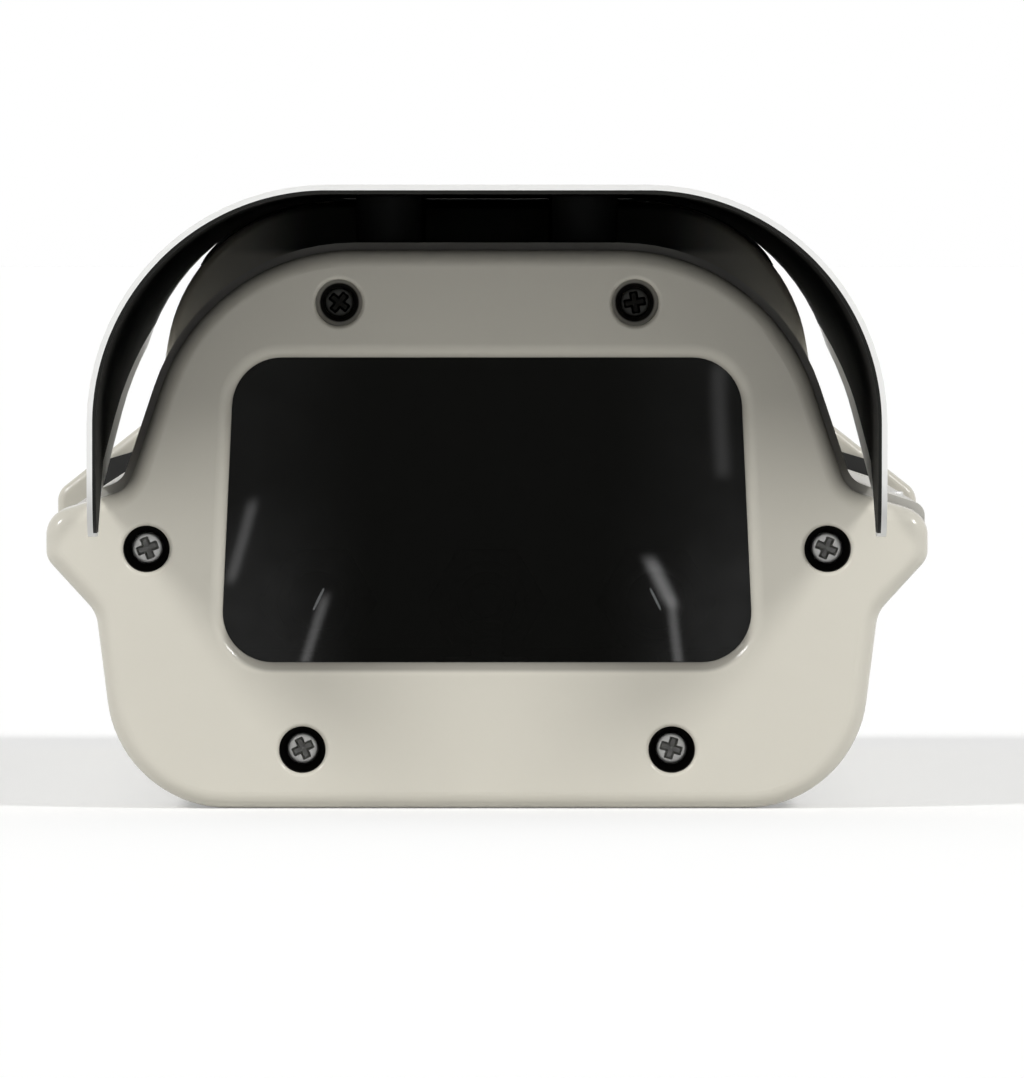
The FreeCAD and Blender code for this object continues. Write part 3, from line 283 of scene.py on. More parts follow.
def coat_texture_group():
    """Sprayed coat: fine ripples raise the normal, and slow patches shift the tone and the gloss."""
    def fill(place, given):
        ripple = noise(place, given["Ripple Scale"], Detail=2.0, Roughness=0.45)
        fine = noise(place, given["Ripple Scale"] * 4.0, Detail=1.0, Roughness=0.5)
        patch = noise(place, 22.0, Detail=3.0, Roughness=0.55) - 0.5
        return (patch * given["Drift"] + 1.0, patch * 0.10 + given["Roughness"], fine * 0.35 + ripple,
                given["Ripple Height"])

    return surface_group("coat_texture", {
        "Color": (0.8, 0.8, 0.8, 1), "Roughness": 0.4, "Ripple Scale": 600.0, "Ripple Height": 0.00001,
        "Drift": 0.03}, fill)


def turned_metal_group():
    """Machined metal: fine streaks raise the normal, and faint stains change the tone and the gloss."""
    def fill(place, given):
        streaks = noise(place, given["Streak Scale"], Detail=3.0, Roughness=0.6)
        stain = noise(place, 160.0, Detail=4.0, Roughness=0.6)
        return stain * 0.3 + 0.85, stain * 0.14 + given["Roughness"], streaks, given["Streak Height"]

    return surface_group("turned_metal", {
        "Color": (0.6, 0.6, 0.6, 1), "Roughness": 0.25, "Streak Scale": 900.0, "Streak Height": 0.000004}, fill)


TEXTURES = {"coat_texture": coat_texture_group, "turned_metal": turned_metal_group}


def group_node(tree, name, **values):
    """The named group placed in a tree with values for its sockets; the group itself is built once."""
    made = put(tree, "ShaderNodeGroup")
    made.node_tree = bpy.data.node_groups.get(name) or TEXTURES[name]()
    return set_values(made, values)


def dress(tree, texture, shader, *labels):
    """The texture drives the shader's colour, roughness and normal, or those of them that are named."""
    for label, target in (("Color", "Base Color"), ("Roughness", "Roughness"), ("Normal", "Normal")):
        if not labels or label in labels:
            wire(tree, texture.outputs[label], shader.inputs[target])


def new_material(name, **fixed):
    """A material, its tree and its Principled shader, with values for the shader's plain sockets."""
    material = bpy.data.materials.new(name)
    material.use_nodes = True
    tree = material.node_tree
    return material, tree, set_values(tree.nodes["Principled BSDF"], fixed)


def rgba(rgb):
    return (*rgb, 1.0)


def coated(name, rgb, roughness, ripple_scale, ripple_height, drift, **fixed):
    """Paint, powder coat, rubber or plastic: the coat texture on a plain shader."""
    material, tree, shader = new_material(name, **fixed)
    dress(tree, group_node(
        tree, "coat_texture", Color=rgba(rgb), Roughness=roughness, Ripple_Scale=ripple_scale,
        Ripple_Height=ripple_height, Drift=drift), shader)
    return material


def metal(name, rgb, roughness):
    """Bare machined metal."""
    material, tree, shader = new_material(name, Metallic=1.0)
    dress(tree, group_node(tree, "turned_metal", Color=rgba(rgb), Roughness=roughness), shader)
    return material


# Material name: its slot in the record, the setting of its colour, its maker and the values that this takes
FINISHES = {
    "screw_steel": ("screw_steel", "steel", metal, (0.34,), {}),
    # Painted shade: a dark copy of the screw steel for the two top screws under the sunshield
    "shaded_top_screw_steel": ("screw_steel", "top_screw_shade", metal, (0.3,), {}),
    "black_rubber": ("black_rubber", "rubber", coated, (0.6, 1400.0, 0.00002, 0.3), {"Specular_IOR_Level": 0.1}),
    "nylon": ("nylon", "nylon", coated, (0.45, 1200.0, 0.00001, 0.06), {}),
    "black_nylon": ("black_nylon", "spacer", coated, (0.5, 1200.0, 0.00001, 0.15), {"Specular_IOR_Level": 0.15}),
    "gland_plastic": ("gland_plastic", "gland", coated, (0.5, 1500.0, 0.000015, 0.1), {}),
}


def finish_of(name):
    """The material of that name, made once, and its slot in the record."""
    slot, setting, make, values, fixed = FINISHES[name]
    rgb = getattr(bpy.context.scene.housing_finish, setting)
    return bpy.data.materials.get(name) or make(name, rgb, *values, **fixed), slot


def give(material, *nodes):
    """CAD nodes take a material in place of their packed one."""
    for node in nodes:
        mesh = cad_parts[node].data
        mesh.materials.clear()
        mesh.materials.append(material)


# ---------------------------------------------------------------- surfaces

# Where a piece points: the first two directions lie across it and the third along it
FACING = {
    "front": np.array([(1, 0, 0), (0, 0, 1), (0, -1, 0)], float),
    "rear": np.array([(-1, 0, 0), (0, 0, 1), (0, 1, 0)], float),
    "up": np.array([(1, 0, 0), (0, 1, 0), (0, 0, 1)], float),
}
# What may be cut into a row of a turned profile
PLAIN, FLATS, CROSS, SLIT = 0, 1, 2, 3
# A hexagon's distance to its flats as a share of that to its corners, and the angle between neighbours' crosses
FLAT_SHARE, GOLDEN_ANGLE = math.cos(math.pi / 6), 2.39996


def rounded(corners, rounds, steps=5):
    """A line of corners with its inner corners rounded.

    Each inner corner becomes the quadratic Bezier curve that starts the given distance before it and ends as far
    behind it: (1 - t)^2 * start + 2 t (1 - t) * corner + t^2 * end."""
    corners = np.asarray(corners, float)
    runs = np.diff(corners, axis=0)
    runs /= np.linalg.norm(runs, axis=1, keepdims=True)
    inner, reach = corners[1:-1], np.asarray(rounds, float)[:, None]
    start, end = inner - runs[:-1] * reach, inner + runs[1:] * reach
    t = np.linspace(0, 1, steps)[None, :, None]
    curve = (1 - t) ** 2 * start[:, None] + 2 * t * (1 - t) * inner[:, None] + t ** 2 * end[:, None]
    return np.vstack([corners[:1], curve.reshape(-1, 2), corners[-1:]])


def rows(line, depth=0.0, kind=PLAIN):
    """A profile line of (radius, height) with the depth of its grooves and its kind in every row."""
    line = np.asarray(line, float)
    return np.column_stack([line, np.broadcast_to(depth, len(line)), np.full(len(line), float(kind))])


def thread_rows(radius, low, high, depth, pitch):
    """Four rows to each turn of a thread; the depth fades in over the first and last turn."""
    count = int((high - low) / pitch * 4) + 2
    height = np.linspace(low, high, count)
    fade = np.clip(np.minimum(height - low, high - height) / pitch, 0, 1)
    return rows(np.column_stack([np.full(count, radius), height]), depth * fade)


def grid(points):
    """A closed surface from rows of points: each row is a loop and is joined to the next one by quads."""
    count, columns = points.shape[:2]
    row, column = np.meshgrid(np.arange(count - 1), np.arange(columns), indexing="ij")
    here, beside = row * columns + column, row * columns + (column + 1) % columns
    return points.reshape(-1, 3), np.stack([here, beside, beside + columns, here + columns], axis=-1).reshape(-1, 4)


def turned(profile, place, facing, columns=48, grooves=1, pitch=None, apothem=None, cross=None, slit=None, turn=0.0):
    """A turned piece: a profile of (radius, height, groove depth, kind) carried round an axis.

    At angle a the radius is the profile's less depth * (0.5 - 0.5 * cos(grooves * a - 2 pi * height / pitch)), and on
    rows cut by flats at most apothem / cos(angle from the middle of the nearest of six flats). On rows that hold the
    cross of (reach, width, depth) the height sinks by depth * (1 - 0.45 * distance / reach) inside either arm, with
    walls that slope over a quarter of the arm's width. On rows of a slit of (bore, long, short) the bore becomes an
    ellipse of radius long * short / sqrt((long * sin)^2 + (short * cos)^2) at an angle from its long axis."""
    radius, height, depth, kind = (part[:, None] for part in profile.T)
    angle = np.linspace(0, 2 * np.pi, columns, endpoint=False)[None, :]
    lead = 0.0 if pitch is None else 2 * np.pi * height / pitch
    radius = radius - depth * (0.5 - 0.5 * np.cos(grooves * angle - lead))
    height = height + np.zeros_like(angle)
    if apothem is not None:
        flat = apothem / np.cos(np.mod(angle, np.pi / 3) - np.pi / 6)
        radius = np.where(kind == FLATS, np.minimum(radius, flat), radius)
    if slit is not None:
        bore, long, short = slit
        oval = long * short / np.sqrt((long * np.sin(angle - turn)) ** 2 + (short * np.cos(angle - turn)) ** 2)
        radius = np.where(kind == SLIT, radius - bore + oval, radius)
    if cross is not None:
        reach, width, sink = cross
        along, across = radius * np.cos(angle - turn), radius * np.sin(angle - turn)
        slope = width / 4

        def arm(p, q):
            ends = np.clip((reach - np.abs(p)) / slope + 0.5, 0, 1)
            return ends * np.clip((width / 2 - np.abs(q)) / slope + 0.5, 0, 1)

        hollow = np.maximum(arm(along, across), arm(across, along)) * (1 - 0.45 * np.clip(radius / reach, 0, 1))
        height = np.where(kind == CROSS, height - sink * hollow, height)
    first, second, axis = FACING[facing]
    return grid(np.asarray(place, float) + (radius * np.cos(angle))[..., None] * first
                + (radius * np.sin(angle))[..., None] * second + height[..., None] * axis)


def pan_head(radius, height, foot=0.25, crown=10.0):
    """Profile of a domed head: out along the seat, up its edge, then over the dome.

    The dome's height over its foot is (height - foot) * (1 - cos(t)^crown)^(1 / crown) at radius * cos(t)."""
    t = np.linspace(0, np.pi / 2, 30)
    dome = np.column_stack([
        radius * np.cos(t), foot + (height - foot) * (1 - np.cos(t) ** crown) ** (1 / crown)])
    return np.vstack([rows(rounded([(0, 0), (radius, 0), (radius, foot)], [0.08], 3)), rows(dome, kind=CROSS)])


def shank(radius, low, high, depth, pitch, plain=0.6):
    """Profile of a threaded shank with a pointed-off end and a plain stretch under the head."""
    return np.vstack([
        rows([(0, low), (radius - 0.35, low), (radius, low + 0.35)]),
        thread_rows(radius, low + 0.35, high - plain, depth, pitch),
        rows([(radius, high), (0, high)])])


def ring(inner, outer, height, edge):
    """Profile of a ring with rounded edges, closed through its bore."""
    return rows(rounded(
        [(inner, height / 2), (inner, 0), (outer, 0), (outer, height), (inner, height), (inner, height / 2)],
        [edge] * 4, 4))


def hexagon_nut(bore, corner, height, bevel):
    """Profile of a nut whose corners are cut back at both ends."""
    flat = corner * FLAT_SHARE
    return np.vstack([
        rows([(bore, height / 2), (bore, 0)]),
        rows([(flat, 0), (corner, bevel), (corner, height - bevel), (flat, height)], kind=FLATS),
        rows([(bore, height), (bore, height / 2)])])


def swept(section, path, across):
    """A section of (along the path's normal, along y) carried along a path of (x, z), closed at both ends.

    A point is path + first * normal of the path + (0, second, 0); the normal is the path's direction turned a quarter
    turn to its right, and the section's first part is scaled by the value given for each point of the path."""
    run = np.gradient(path, axis=0)
    run /= np.linalg.norm(run, axis=1, keepdims=True)
    normal = np.column_stack([run[:, 1], -run[:, 0]])
    lift = section[None, :, 0] * across[:, None]
    x = path[:, None, 0] + normal[:, None, 0] * lift
    z = path[:, None, 1] + normal[:, None, 1] * lift
    y = np.broadcast_to(section[None, :, 1], x.shape)
    points = np.stack([x, y, z], axis=-1)
    middle = points.mean(axis=1, keepdims=True)
    return grid(np.concatenate([np.broadcast_to(middle[:1], points[:1].shape), points,
                                np.broadcast_to(middle[-1:], points[-1:].shape)]))


def piece(name, surfaces, finish_name, body, *nodes):
    """One mesh from closed surfaces given in millimetres, riding a body, in place of the named CAD nodes."""
    material, slot = finish_of(finish_name)
    starts = np.cumsum([0] + [len(points) for points, faces in surfaces[:-1]])
    points = np.concatenate([points for points, faces in surfaces]) * MM
    faces = np.concatenate([surface[1] + start for surface, start in zip(surfaces, starts)])
    mesh = bpy.data.meshes.new(name)
    mesh.from_pydata(points.tolist(), [], faces.tolist())
    work = bmesh.new()
    work.from_mesh(mesh)
    bmesh.ops.remove_doubles(work, verts=work.verts, dist=0.002 * MM)
    bmesh.ops.recalc_face_normals(work, faces=work.faces)
    work.to_mesh(mesh)
    work.free()
    mesh.shade_smooth()
    mesh.set_sharp_from_angle(angle=math.radians(38))
    mesh.materials.append(material)
    made = bpy.data.objects.new(name, mesh)
    bpy.context.scene.collection.objects.link(made)
    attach(made, body)
    if nodes:
        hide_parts(*nodes)


def cross_screws(places, facing, head, shaft, pitch, fixing, first_turn=0.0, scale=1.0):
    """Screws from a profile of the head and (radius, low, high) of the shank, on one seat.

    Each cross is turned on from the one before by the golden angle."""
    cross = [value / MM * scale for value in (fixing.cross_reach, fixing.cross_width, fixing.cross_depth)]
    made = []
    for index, place in enumerate(places):
        turn = first_turn + index * GOLDEN_ANGLE
        made.append(turned(head, place, facing, fixing.head_columns, cross=cross, turn=turn))
        made.append(turned(
            shank(*shaft, fixing.thread_depth / MM, pitch), place, facing, fixing.shank_columns, pitch=pitch))
    return made


# ---------------------------------------------------------------- operators

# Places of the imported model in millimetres; screw axes are half widths and heights, and seats lie under the heads
TOP_AXIS, SIDE_AXIS, LOW_AXIS = (26.7, 91.2), (61.4, 46.8), (33.3, 10.6)
CASTING_SEAT, WINDOW_SEAT, WINDOW_AXES = 163.0, -165.3, ((55.6, 32.0), (53.1, 66.0))
LID_SCREW_X, LID_SCREW_Y, LID_SCREW_SEAT, LID_WASHER_SEAT = 73.5, 95.0, 53.0, 49.8
SHIELD_BOLT_X, SHIELD_BOLT_ROWS, SHIELD_TOP, SPACER_SEAT, SHIELD_NUT_SEAT = 18.0, (-115.0, 85.0), 112.3, 102.0, 96.4
TRAY_BOLT_X, TRAY_BOLT_ROWS, TRAY_TOP, KNOB_SEAT = 57.5, (-100.0, 100.0), 21.7, 13.0
GLAND_X, GLAND_HEIGHT, GLAND_WALL, GLAND_CAP_SEAT, GLAND_NUT_SEAT = (-34.0, 0.0, 34.0), 30, 175, 180, 166
HINGE_PLACE, HINGE_LENGTH = (-74.7, -151, 49.9), 291
# Painted shade inside the castings' screw recesses: its reach, its fade and the depth of the pale rim, in millimetres
WELL_MASK, TOP_WELL_MASK, WELL_FADE, WELL_RIM = 4.6, 3.7, 0.3, 1.3
# How strong the painted shade on the window's lower ledge and the rear collar's hidden face is, as shares of the
# wells' painted shade
LEDGE_SHADE, HIDDEN_SHADE = 0.5, 0.9


def on_both_sides(y, *axes):
    """Places left and right of the middle, at one depth."""
    return [(side * x, y, z) for x, z in axes for side in (-1, 1)]


def in_rows(x, depths, z):
    """Places left and right of the middle, at one height."""
    return [(side * x, y, z) for y in depths for side in (-1, 1)]


class HousingOperator:
    """What the operators share: each builds its pieces from the scene's settings in make()."""
    bl_options = {"REGISTER"}

    def execute(self, context):
        self.make(context.scene.housing_finish, context.scene.housing_fixing)
        return {"FINISHED"}


def shade_mask(tree):
    """Painted shade: 1 in the castings' screw recesses, less on the window's lower ledge and the rear collar's hidden
    face.

    A point is inside where it is nearer to a screw's axis than WELL_MASK, or TOP_WELL_MASK for the two top axes, and
    deeper behind the face than WELL_RIM; over the last WELL_FADE the mask fades out. The axes are alike left and
    right and in front and at the rear, so |x| and |y| are read. The ledge is where the surface looks up, |x| is under
    50 mm, z from 23 to 34 mm and y in front of -171 mm. The hidden face looks forward over the lid, above 101 mm; its
    shade holds up to |x| = 34 mm and is gone past 56 mm."""
    x, y, z = parts_of(coordinate(tree))
    side = abs(x)
    nearest = None
    for across, up in (TOP_AXIS, SIDE_AXIS, LOW_AXIS):
        gap = vector_math("LENGTH", vector_of(side - across * MM, z - up * MM))
        nearest = gap + (WELL_MASK - TOP_WELL_MASK) * MM if nearest is None else nearest.math("MINIMUM", gap)
    near = largest(nearest * (-1 / (WELL_FADE * MM)) + WELL_MASK / WELL_FADE, 0.0).math("MINIMUM", 1.0)
    deep = abs(y) < -CAP_LOW.y - WELL_RIM * MM
    normal = parts_of(coordinate(tree, "Normal"))
    # Painted shade on the window's lower ledge and on the rear collar's face that looks forward over the lid
    ledge = ramp(normal[2], 0.15, 0.55) * (side < 50 * MM) * (z > 23 * MM) * (z < 34 * MM) * (y < -171 * MM)
    hidden = ramp(side, 56 * MM, 34 * MM) * ramp(z, 99 * MM, 101 * MM) * (normal[1] < -0.5) * (y > 0.0)
    return largest(near * deep, ledge * LEDGE_SHADE, hidden * HIDDEN_SHADE)


def coat_with_painted_shade(name, mask_of, outer, inner, roughness, inner_roughness, ripple, drift, clear, clear_roughness):
    """A coat whose colour and gloss change to a painted shade where a mask is 1; the clear coat over it ends there.
    """
    material, tree, shader = new_material(name, Specular_IOR_Level=0.1, Coat_Roughness=clear_roughness)
    mask = mask_of(tree)
    tones = put(tree, "ShaderNodeMix")
    tones.data_type = "RGBA"
    for socket in tones.inputs:
        if socket.type == "RGBA":
            socket.default_value = rgba(outer if socket.name == "A" else inner)
    feed(mask, tones.inputs[0])
    texture = group_node(tree, "coat_texture", Ripple_Scale=ripple[0], Ripple_Height=ripple[1], Drift=drift)
    wire(tree, next(socket for socket in tones.outputs if socket.type == "RGBA"), texture.inputs["Color"])
    feed(mask * (inner_roughness - roughness) + roughness, texture.inputs["Roughness"])
    dress(tree, texture, shader)
    feed(mask * -clear + clear, shader.inputs["Coat Weight"])
    return material


class HOUSING_OT_castings(HousingOperator, bpy.types.Operator):
    """Enamel on the front and rear castings, with painted shade in their screw recesses, on the window's lower ledge
    and on the rear collar's hidden face
    """
    bl_idname = "housing.castings"
    bl_label = "Castings"

    def make(self, finish, fixing):
        # The enamel turns to painted shade where the shade mask is 1
        give(coat_with_painted_shade("cap_enamel", shade_mask, finish.cap, finish.cap_shade,
                      0.42, 0.7, (420.0, 0.000012), 0.05, 0.6, 0.13), "front_cap", "rear_cap")


class HOUSING_OT_shells(HousingOperator, bpy.types.Operator):
    """Powder coat on the lower body and the lid, black paint on the pieces inside"""
    bl_idname = "housing.shells"
    bl_label = "Shells"

    def make(self, finish, fixing):
        give(coated("powder_coat", finish.shell, 0.48, 900.0, 0.000022, 0.05), "lower_body", "upper_cover")
        give(coated("inner_black", finish.inner, 0.32, 900.0, 0.00001, 0.2),
             "front_bulkhead", "camera_tray", "glass_frame")


def shield_shade_mask(tree, finish):
    """Where the sunshield's painted shade goes: 1 on the sheet's inner side and the inner part of its front edge, 0
    elsewhere and on a strip at the lower edge.

    With q = (max(|x| - a, 0), max(z - b, 0)) from the middles (a, b) of the bends, the direction away from the
    sheet's middle is q scaled to 1, turned to the sign of x. The inner side is where the surface's normal points
    against it. The front edge is where the normal points forward, and its inner part where the length of q is under
    the inner radius and the lap. The lower edge is max(nose, min(rise, slope)) of y: the rise climbs 7.3 mm in 23 mm
    from y = -199 mm, and the slope 24.6 mm in 332 mm from y = -176 mm, where the edge is 56.9 mm high."""
    x, y, z = parts_of(coordinate(tree))
    normal = coordinate(tree, "Normal")
    outer_bend, inner_bend = 42.6 * MM, 41 * MM
    across = largest(abs(x) - (SHIELD_HIGH.x - outer_bend), 0.0)
    above = largest(z - (SHIELD_HIGH.z - outer_bend), 0.0)
    outward = vector_of(across * x.math("SIGN"), None, above)
    unit = vector_math("NORMALIZE", outward, output="Vector")
    lapped = vector_math("LENGTH", outward) < inner_bend + finish.shield_shade_lap
    inside = largest(vector_math("DOT_PRODUCT", unit, normal) < -0.6, lapped * (parts_of(normal)[1] < -0.1))
    nose = SHIELD_LOW.z + finish.nose_margin
    rise = (y + 199 * MM) * (7.3 / 23) + nose
    slope = (y + 176 * MM) * (24.6 / 332) + (56.9 * MM + finish.shield_shade_margin)
    return inside * (z > largest(rise.math("MINIMUM", slope), nose))


class HOUSING_OT_sunshield(HousingOperator, bpy.types.Operator):
    """Pale coat on the sunshield, with black painted shade on its inner side"""
    bl_idname = "housing.sunshield"
    bl_label = "Sunshield"

    def make(self, finish, fixing):
        # The sunshield's inner side takes the black painted shade
        give(coat_with_painted_shade("shield_coat", lambda tree: shield_shade_mask(tree, finish), finish.shield, finish.painted_shade,
                      0.42, 0.6, (900.0, 0.00002), 0.04, 0.5, 0.3), "sunshield")


class HOUSING_OT_window(HousingOperator, bpy.types.Operator):
    """Tinted glass in the window"""
    bl_idname = "housing.window"
    bl_label = "Window"

    def make(self, finish, fixing):
        material, tree, shader = new_material("window_glass", Roughness=0.01, Transmission_Weight=1.0, IOR=1.45)
        dress(tree, group_node(
            tree, "coat_texture", Color=rgba(finish.glass), Ripple_Scale=12.0, Ripple_Height=0.000004,
            Drift=0.02), shader, "Color", "Normal")
        clear = put(tree, "ShaderNodeBsdfTransparent", Color=(0.9, 0.9, 0.9, 1))
        choice = put(tree, "ShaderNodeMixShader")
        wire(tree, put(tree, "ShaderNodeLightPath").outputs["Is Shadow Ray"], choice.inputs["Fac"])
        wire(tree, shader.outputs[0], choice.inputs[1])
        wire(tree, clear.outputs[0], choice.inputs[2])
        wire(tree, choice.outputs[0], tree.nodes["Material Output"].inputs["Surface"])
        give(material, "window_glass")


def collar_strip():
    """A strip of rubber on the rear collar's upper edge, nearly as thick as the gap under the sunshield.

    The path is the collar's edge: a circle of 33 mm at each corner and the straight top between them. The sunshield's
    underside is the same shape with circles of 41 mm about centres 2.46 mm further in and 7.4 mm lower, so at the
    angle a from the top the gap is 8 - 2.46 sin a - 7.4 cos a. The strip thins out over its last 14 degrees."""
    centre_x, centre_z, radius, end, fade = 30.96, 77.1, 33, 52, 14
    front, back = 143.5, 149
    turn = np.linspace(end, 0, end + 1)
    sine, cosine = np.sin(np.radians(turn)), np.cos(np.radians(turn))
    right = np.column_stack([centre_x + radius * sine, centre_z + radius * cosine])
    top = np.column_stack([np.linspace(centre_x, -centre_x, 9)[1:-1], np.full(7, centre_z + radius)])
    path = np.vstack([right, top, right[::-1] * (-1, 1)])
    gap = (8 - 2.46 * sine - 7.4 * cosine - 0.03) * np.clip((end - turn) / fade, 0.04, 1) ** 0.7
    seam = (0, (front + back) / 2)
    section = rounded([seam, (0, front), (1, front), (1, back), (0, back), seam], [0.05, 0.12, 0.12, 0.05], 4)
    return swept(section, path, np.concatenate([gap, np.full(7, gap[-1]), gap[::-1]]))


class HOUSING_OT_gaskets(HousingOperator, bpy.types.Operator):
    """Rubber on the gaskets, the window seal and the collar's pad"""
    bl_idname = "housing.gaskets"
    bl_label = "Gaskets"

    def make(self, finish, fixing):
        give(finish_of("black_rubber")[0], "glass_seal", "front_gasket", "lid_gasket", "rear_gasket")
        piece("collar_strip", [collar_strip()], "black_rubber", "housing", "collar_pad")


class HOUSING_OT_casting_screws(HousingOperator, bpy.types.Operator):
    """Pan head screws deep in the recesses of the castings"""
    bl_idname = "housing.casting_screws"
    bl_label = "Casting screws"

    def make(self, finish, fixing):
        for name, axes, facing, head_radius, low, first_turn, finish_name in (
                ("front", (SIDE_AXIS, LOW_AXIS), "front", 2.95, -27.5, 0.35, "screw_steel"),
                # The top screws take the steel's painted-shade copy
                ("top", (TOP_AXIS,), "front", 2.75, -27.5, 0.9, "shaded_top_screw_steel"),
                ("rear", (SIDE_AXIS, LOW_AXIS), "rear", 2.75, -32.5, 1.1, "screw_steel")):
            places = on_both_sides(-CASTING_SEAT if facing == "front" else CASTING_SEAT, *axes)
            screws = cross_screws(
                places, facing, pan_head(head_radius, 2.2), (1.5, low, 0.2), 0.5, fixing, first_turn)
            piece("casting_screws_" + name, screws, finish_name, "housing", facing + "_screws")


class HOUSING_OT_window_screws(HousingOperator, bpy.types.Operator):
    """Small screws that clamp the frame behind the window"""
    bl_idname = "housing.window_screws"
    bl_label = "Window screws"

    def make(self, finish, fixing):
        screws = cross_screws(on_both_sides(WINDOW_SEAT, *WINDOW_AXES), "rear", pan_head(2.4, 1.6), (1.25, -6.0, 0.2),
                              0.45, fixing, 0.2, 0.8)
        piece("window_screws", screws, "screw_steel", "housing", "glass_frame_screws")


class HOUSING_OT_lid_screws(HousingOperator, bpy.types.Operator):
    """Captive screws of the lid with knurled socket heads, and their washers"""
    bl_idname = "housing.lid_screws"
    bl_label = "Lid screws"

    def make(self, finish, fixing):
        socket = 1.5
        line = rounded([(0, 0), (3.5, 0), (3.5, 3.0), (socket, 3.0)], [0.2, 0.4], 5)
        knurl = np.where(line[:, 0] > 3.2, 0.16, 0.0)
        head = np.vstack([
            rows(line[:-1], knurl[:-1]),
            rows([(socket + 0.12, 3.0), (socket, 2.88), (socket, 1.2)], kind=FLATS),
            rows([(0, 0.9)])])
        stem = shank(2.0, -8.5, 0.2, fixing.thread_depth / MM, 0.7, plain=3.4)
        for end, y in (("front", -LID_SCREW_Y), ("rear", LID_SCREW_Y)):
            place = (LID_SCREW_X, y, LID_SCREW_SEAT)
            piece("lid_screw_" + end, [
                turned(head, place, "up", fixing.knurls * 4, grooves=fixing.knurls, apothem=socket * FLAT_SHARE),
                turned(stem, place, "up", fixing.shank_columns, pitch=0.7)],
                "screw_steel", "captive_" + end, "captive_screw_" + end)
            washer = turned(ring(2.2, 3.6, 0.5, 0.15), (LID_SCREW_X, y, LID_WASHER_SEAT), "up")
            piece("lid_washer_" + end, [washer], "nylon", "lid", "captive_washer_" + end)


class HOUSING_OT_shield_fixings(HousingOperator, bpy.types.Operator):
    """Countersunk screws, nuts and spacers between the sunshield and the lid"""
    bl_idname = "housing.shield_fixings"
    bl_label = "Shield fixings"

    def make(self, finish, fixing):
        face = np.column_stack([np.linspace(3.5, 0, 24), np.zeros(24)])
        head = np.vstack([rows([(0, -1.6), (2.1, -1.6), (3.6, -0.1)]), rows(face, kind=CROSS)])
        tops, nut_seats, spacer_seats = (
            in_rows(SHIELD_BOLT_X, SHIELD_BOLT_ROWS, height) for height in (SHIELD_TOP, SHIELD_NUT_SEAT, SPACER_SEAT))
        screws = cross_screws(tops, "up", head, (2.0, -16.9, -1.4), 0.7, fixing, scale=1.15)
        corner = 4.0
        nuts = [turned(hexagon_nut(2.0, corner, 3.0, 0.4), seat, "up", apothem=corner * FLAT_SHARE)
                for seat in nut_seats]
        spacers = [turned(ring(2.2, 6.0, 8.7, 0.5), seat, "up") for seat in spacer_seats]
        piece("shield_bolts", screws, "screw_steel", "lid", "shield_screws")
        piece("shield_bolt_nuts", nuts, "screw_steel", "lid", "shield_nuts")
        piece("shield_standoffs", spacers, "black_nylon", "lid", "shield_spacers")


class HOUSING_OT_tray_fixings(HousingOperator, bpy.types.Operator):
    """Screws of the tray, and the camera's screw with its ribbed knob and washer"""
    bl_idname = "housing.tray_fixings"
    bl_label = "Tray fixings"

    def make(self, finish, fixing):
        bolts = cross_screws(in_rows(TRAY_BOLT_X, TRAY_BOLT_ROWS, TRAY_TOP), "up", pan_head(2.75, 2.2),
                             (1.5, -5.9, 0.2), 0.5, fixing, 0.6)
        piece("tray_bolts", bolts, "screw_steel", "housing", "tray_screws")
        line = rounded([(0, 0), (9, 0), (9, 6), (0, 6)], [0.8, 0.5], 6)
        knob = rows(line, np.where(line[:, 0] > 8.5, fixing.rib_depth / MM, 0.0))
        stem = np.vstack([
            rows([(0, 5.5), (3.3, 5.5), (3.3, 9.9), (3.1, 9.95)]), thread_rows(3.1, 10.0, 16.4, 0.5, 1.27),
            rows([(2.6, 16.9), (0, 16.9)])])
        piece("camera_thumbscrew", [
            turned(knob, (0, 0, KNOB_SEAT), "up", fixing.knob_ribs * 6, grooves=fixing.knob_ribs),
            turned(stem, (0, 0, KNOB_SEAT), "up", 32, pitch=1.27)], "screw_steel", "camera_fixing", "camera_screw")
        piece("thumbscrew_washer", [turned(ring(3.3, 8.0, 1.2, 0.25), (0, 0, TRAY_TOP), "up", 64)],
              "nylon", "camera_fixing", "camera_washer")


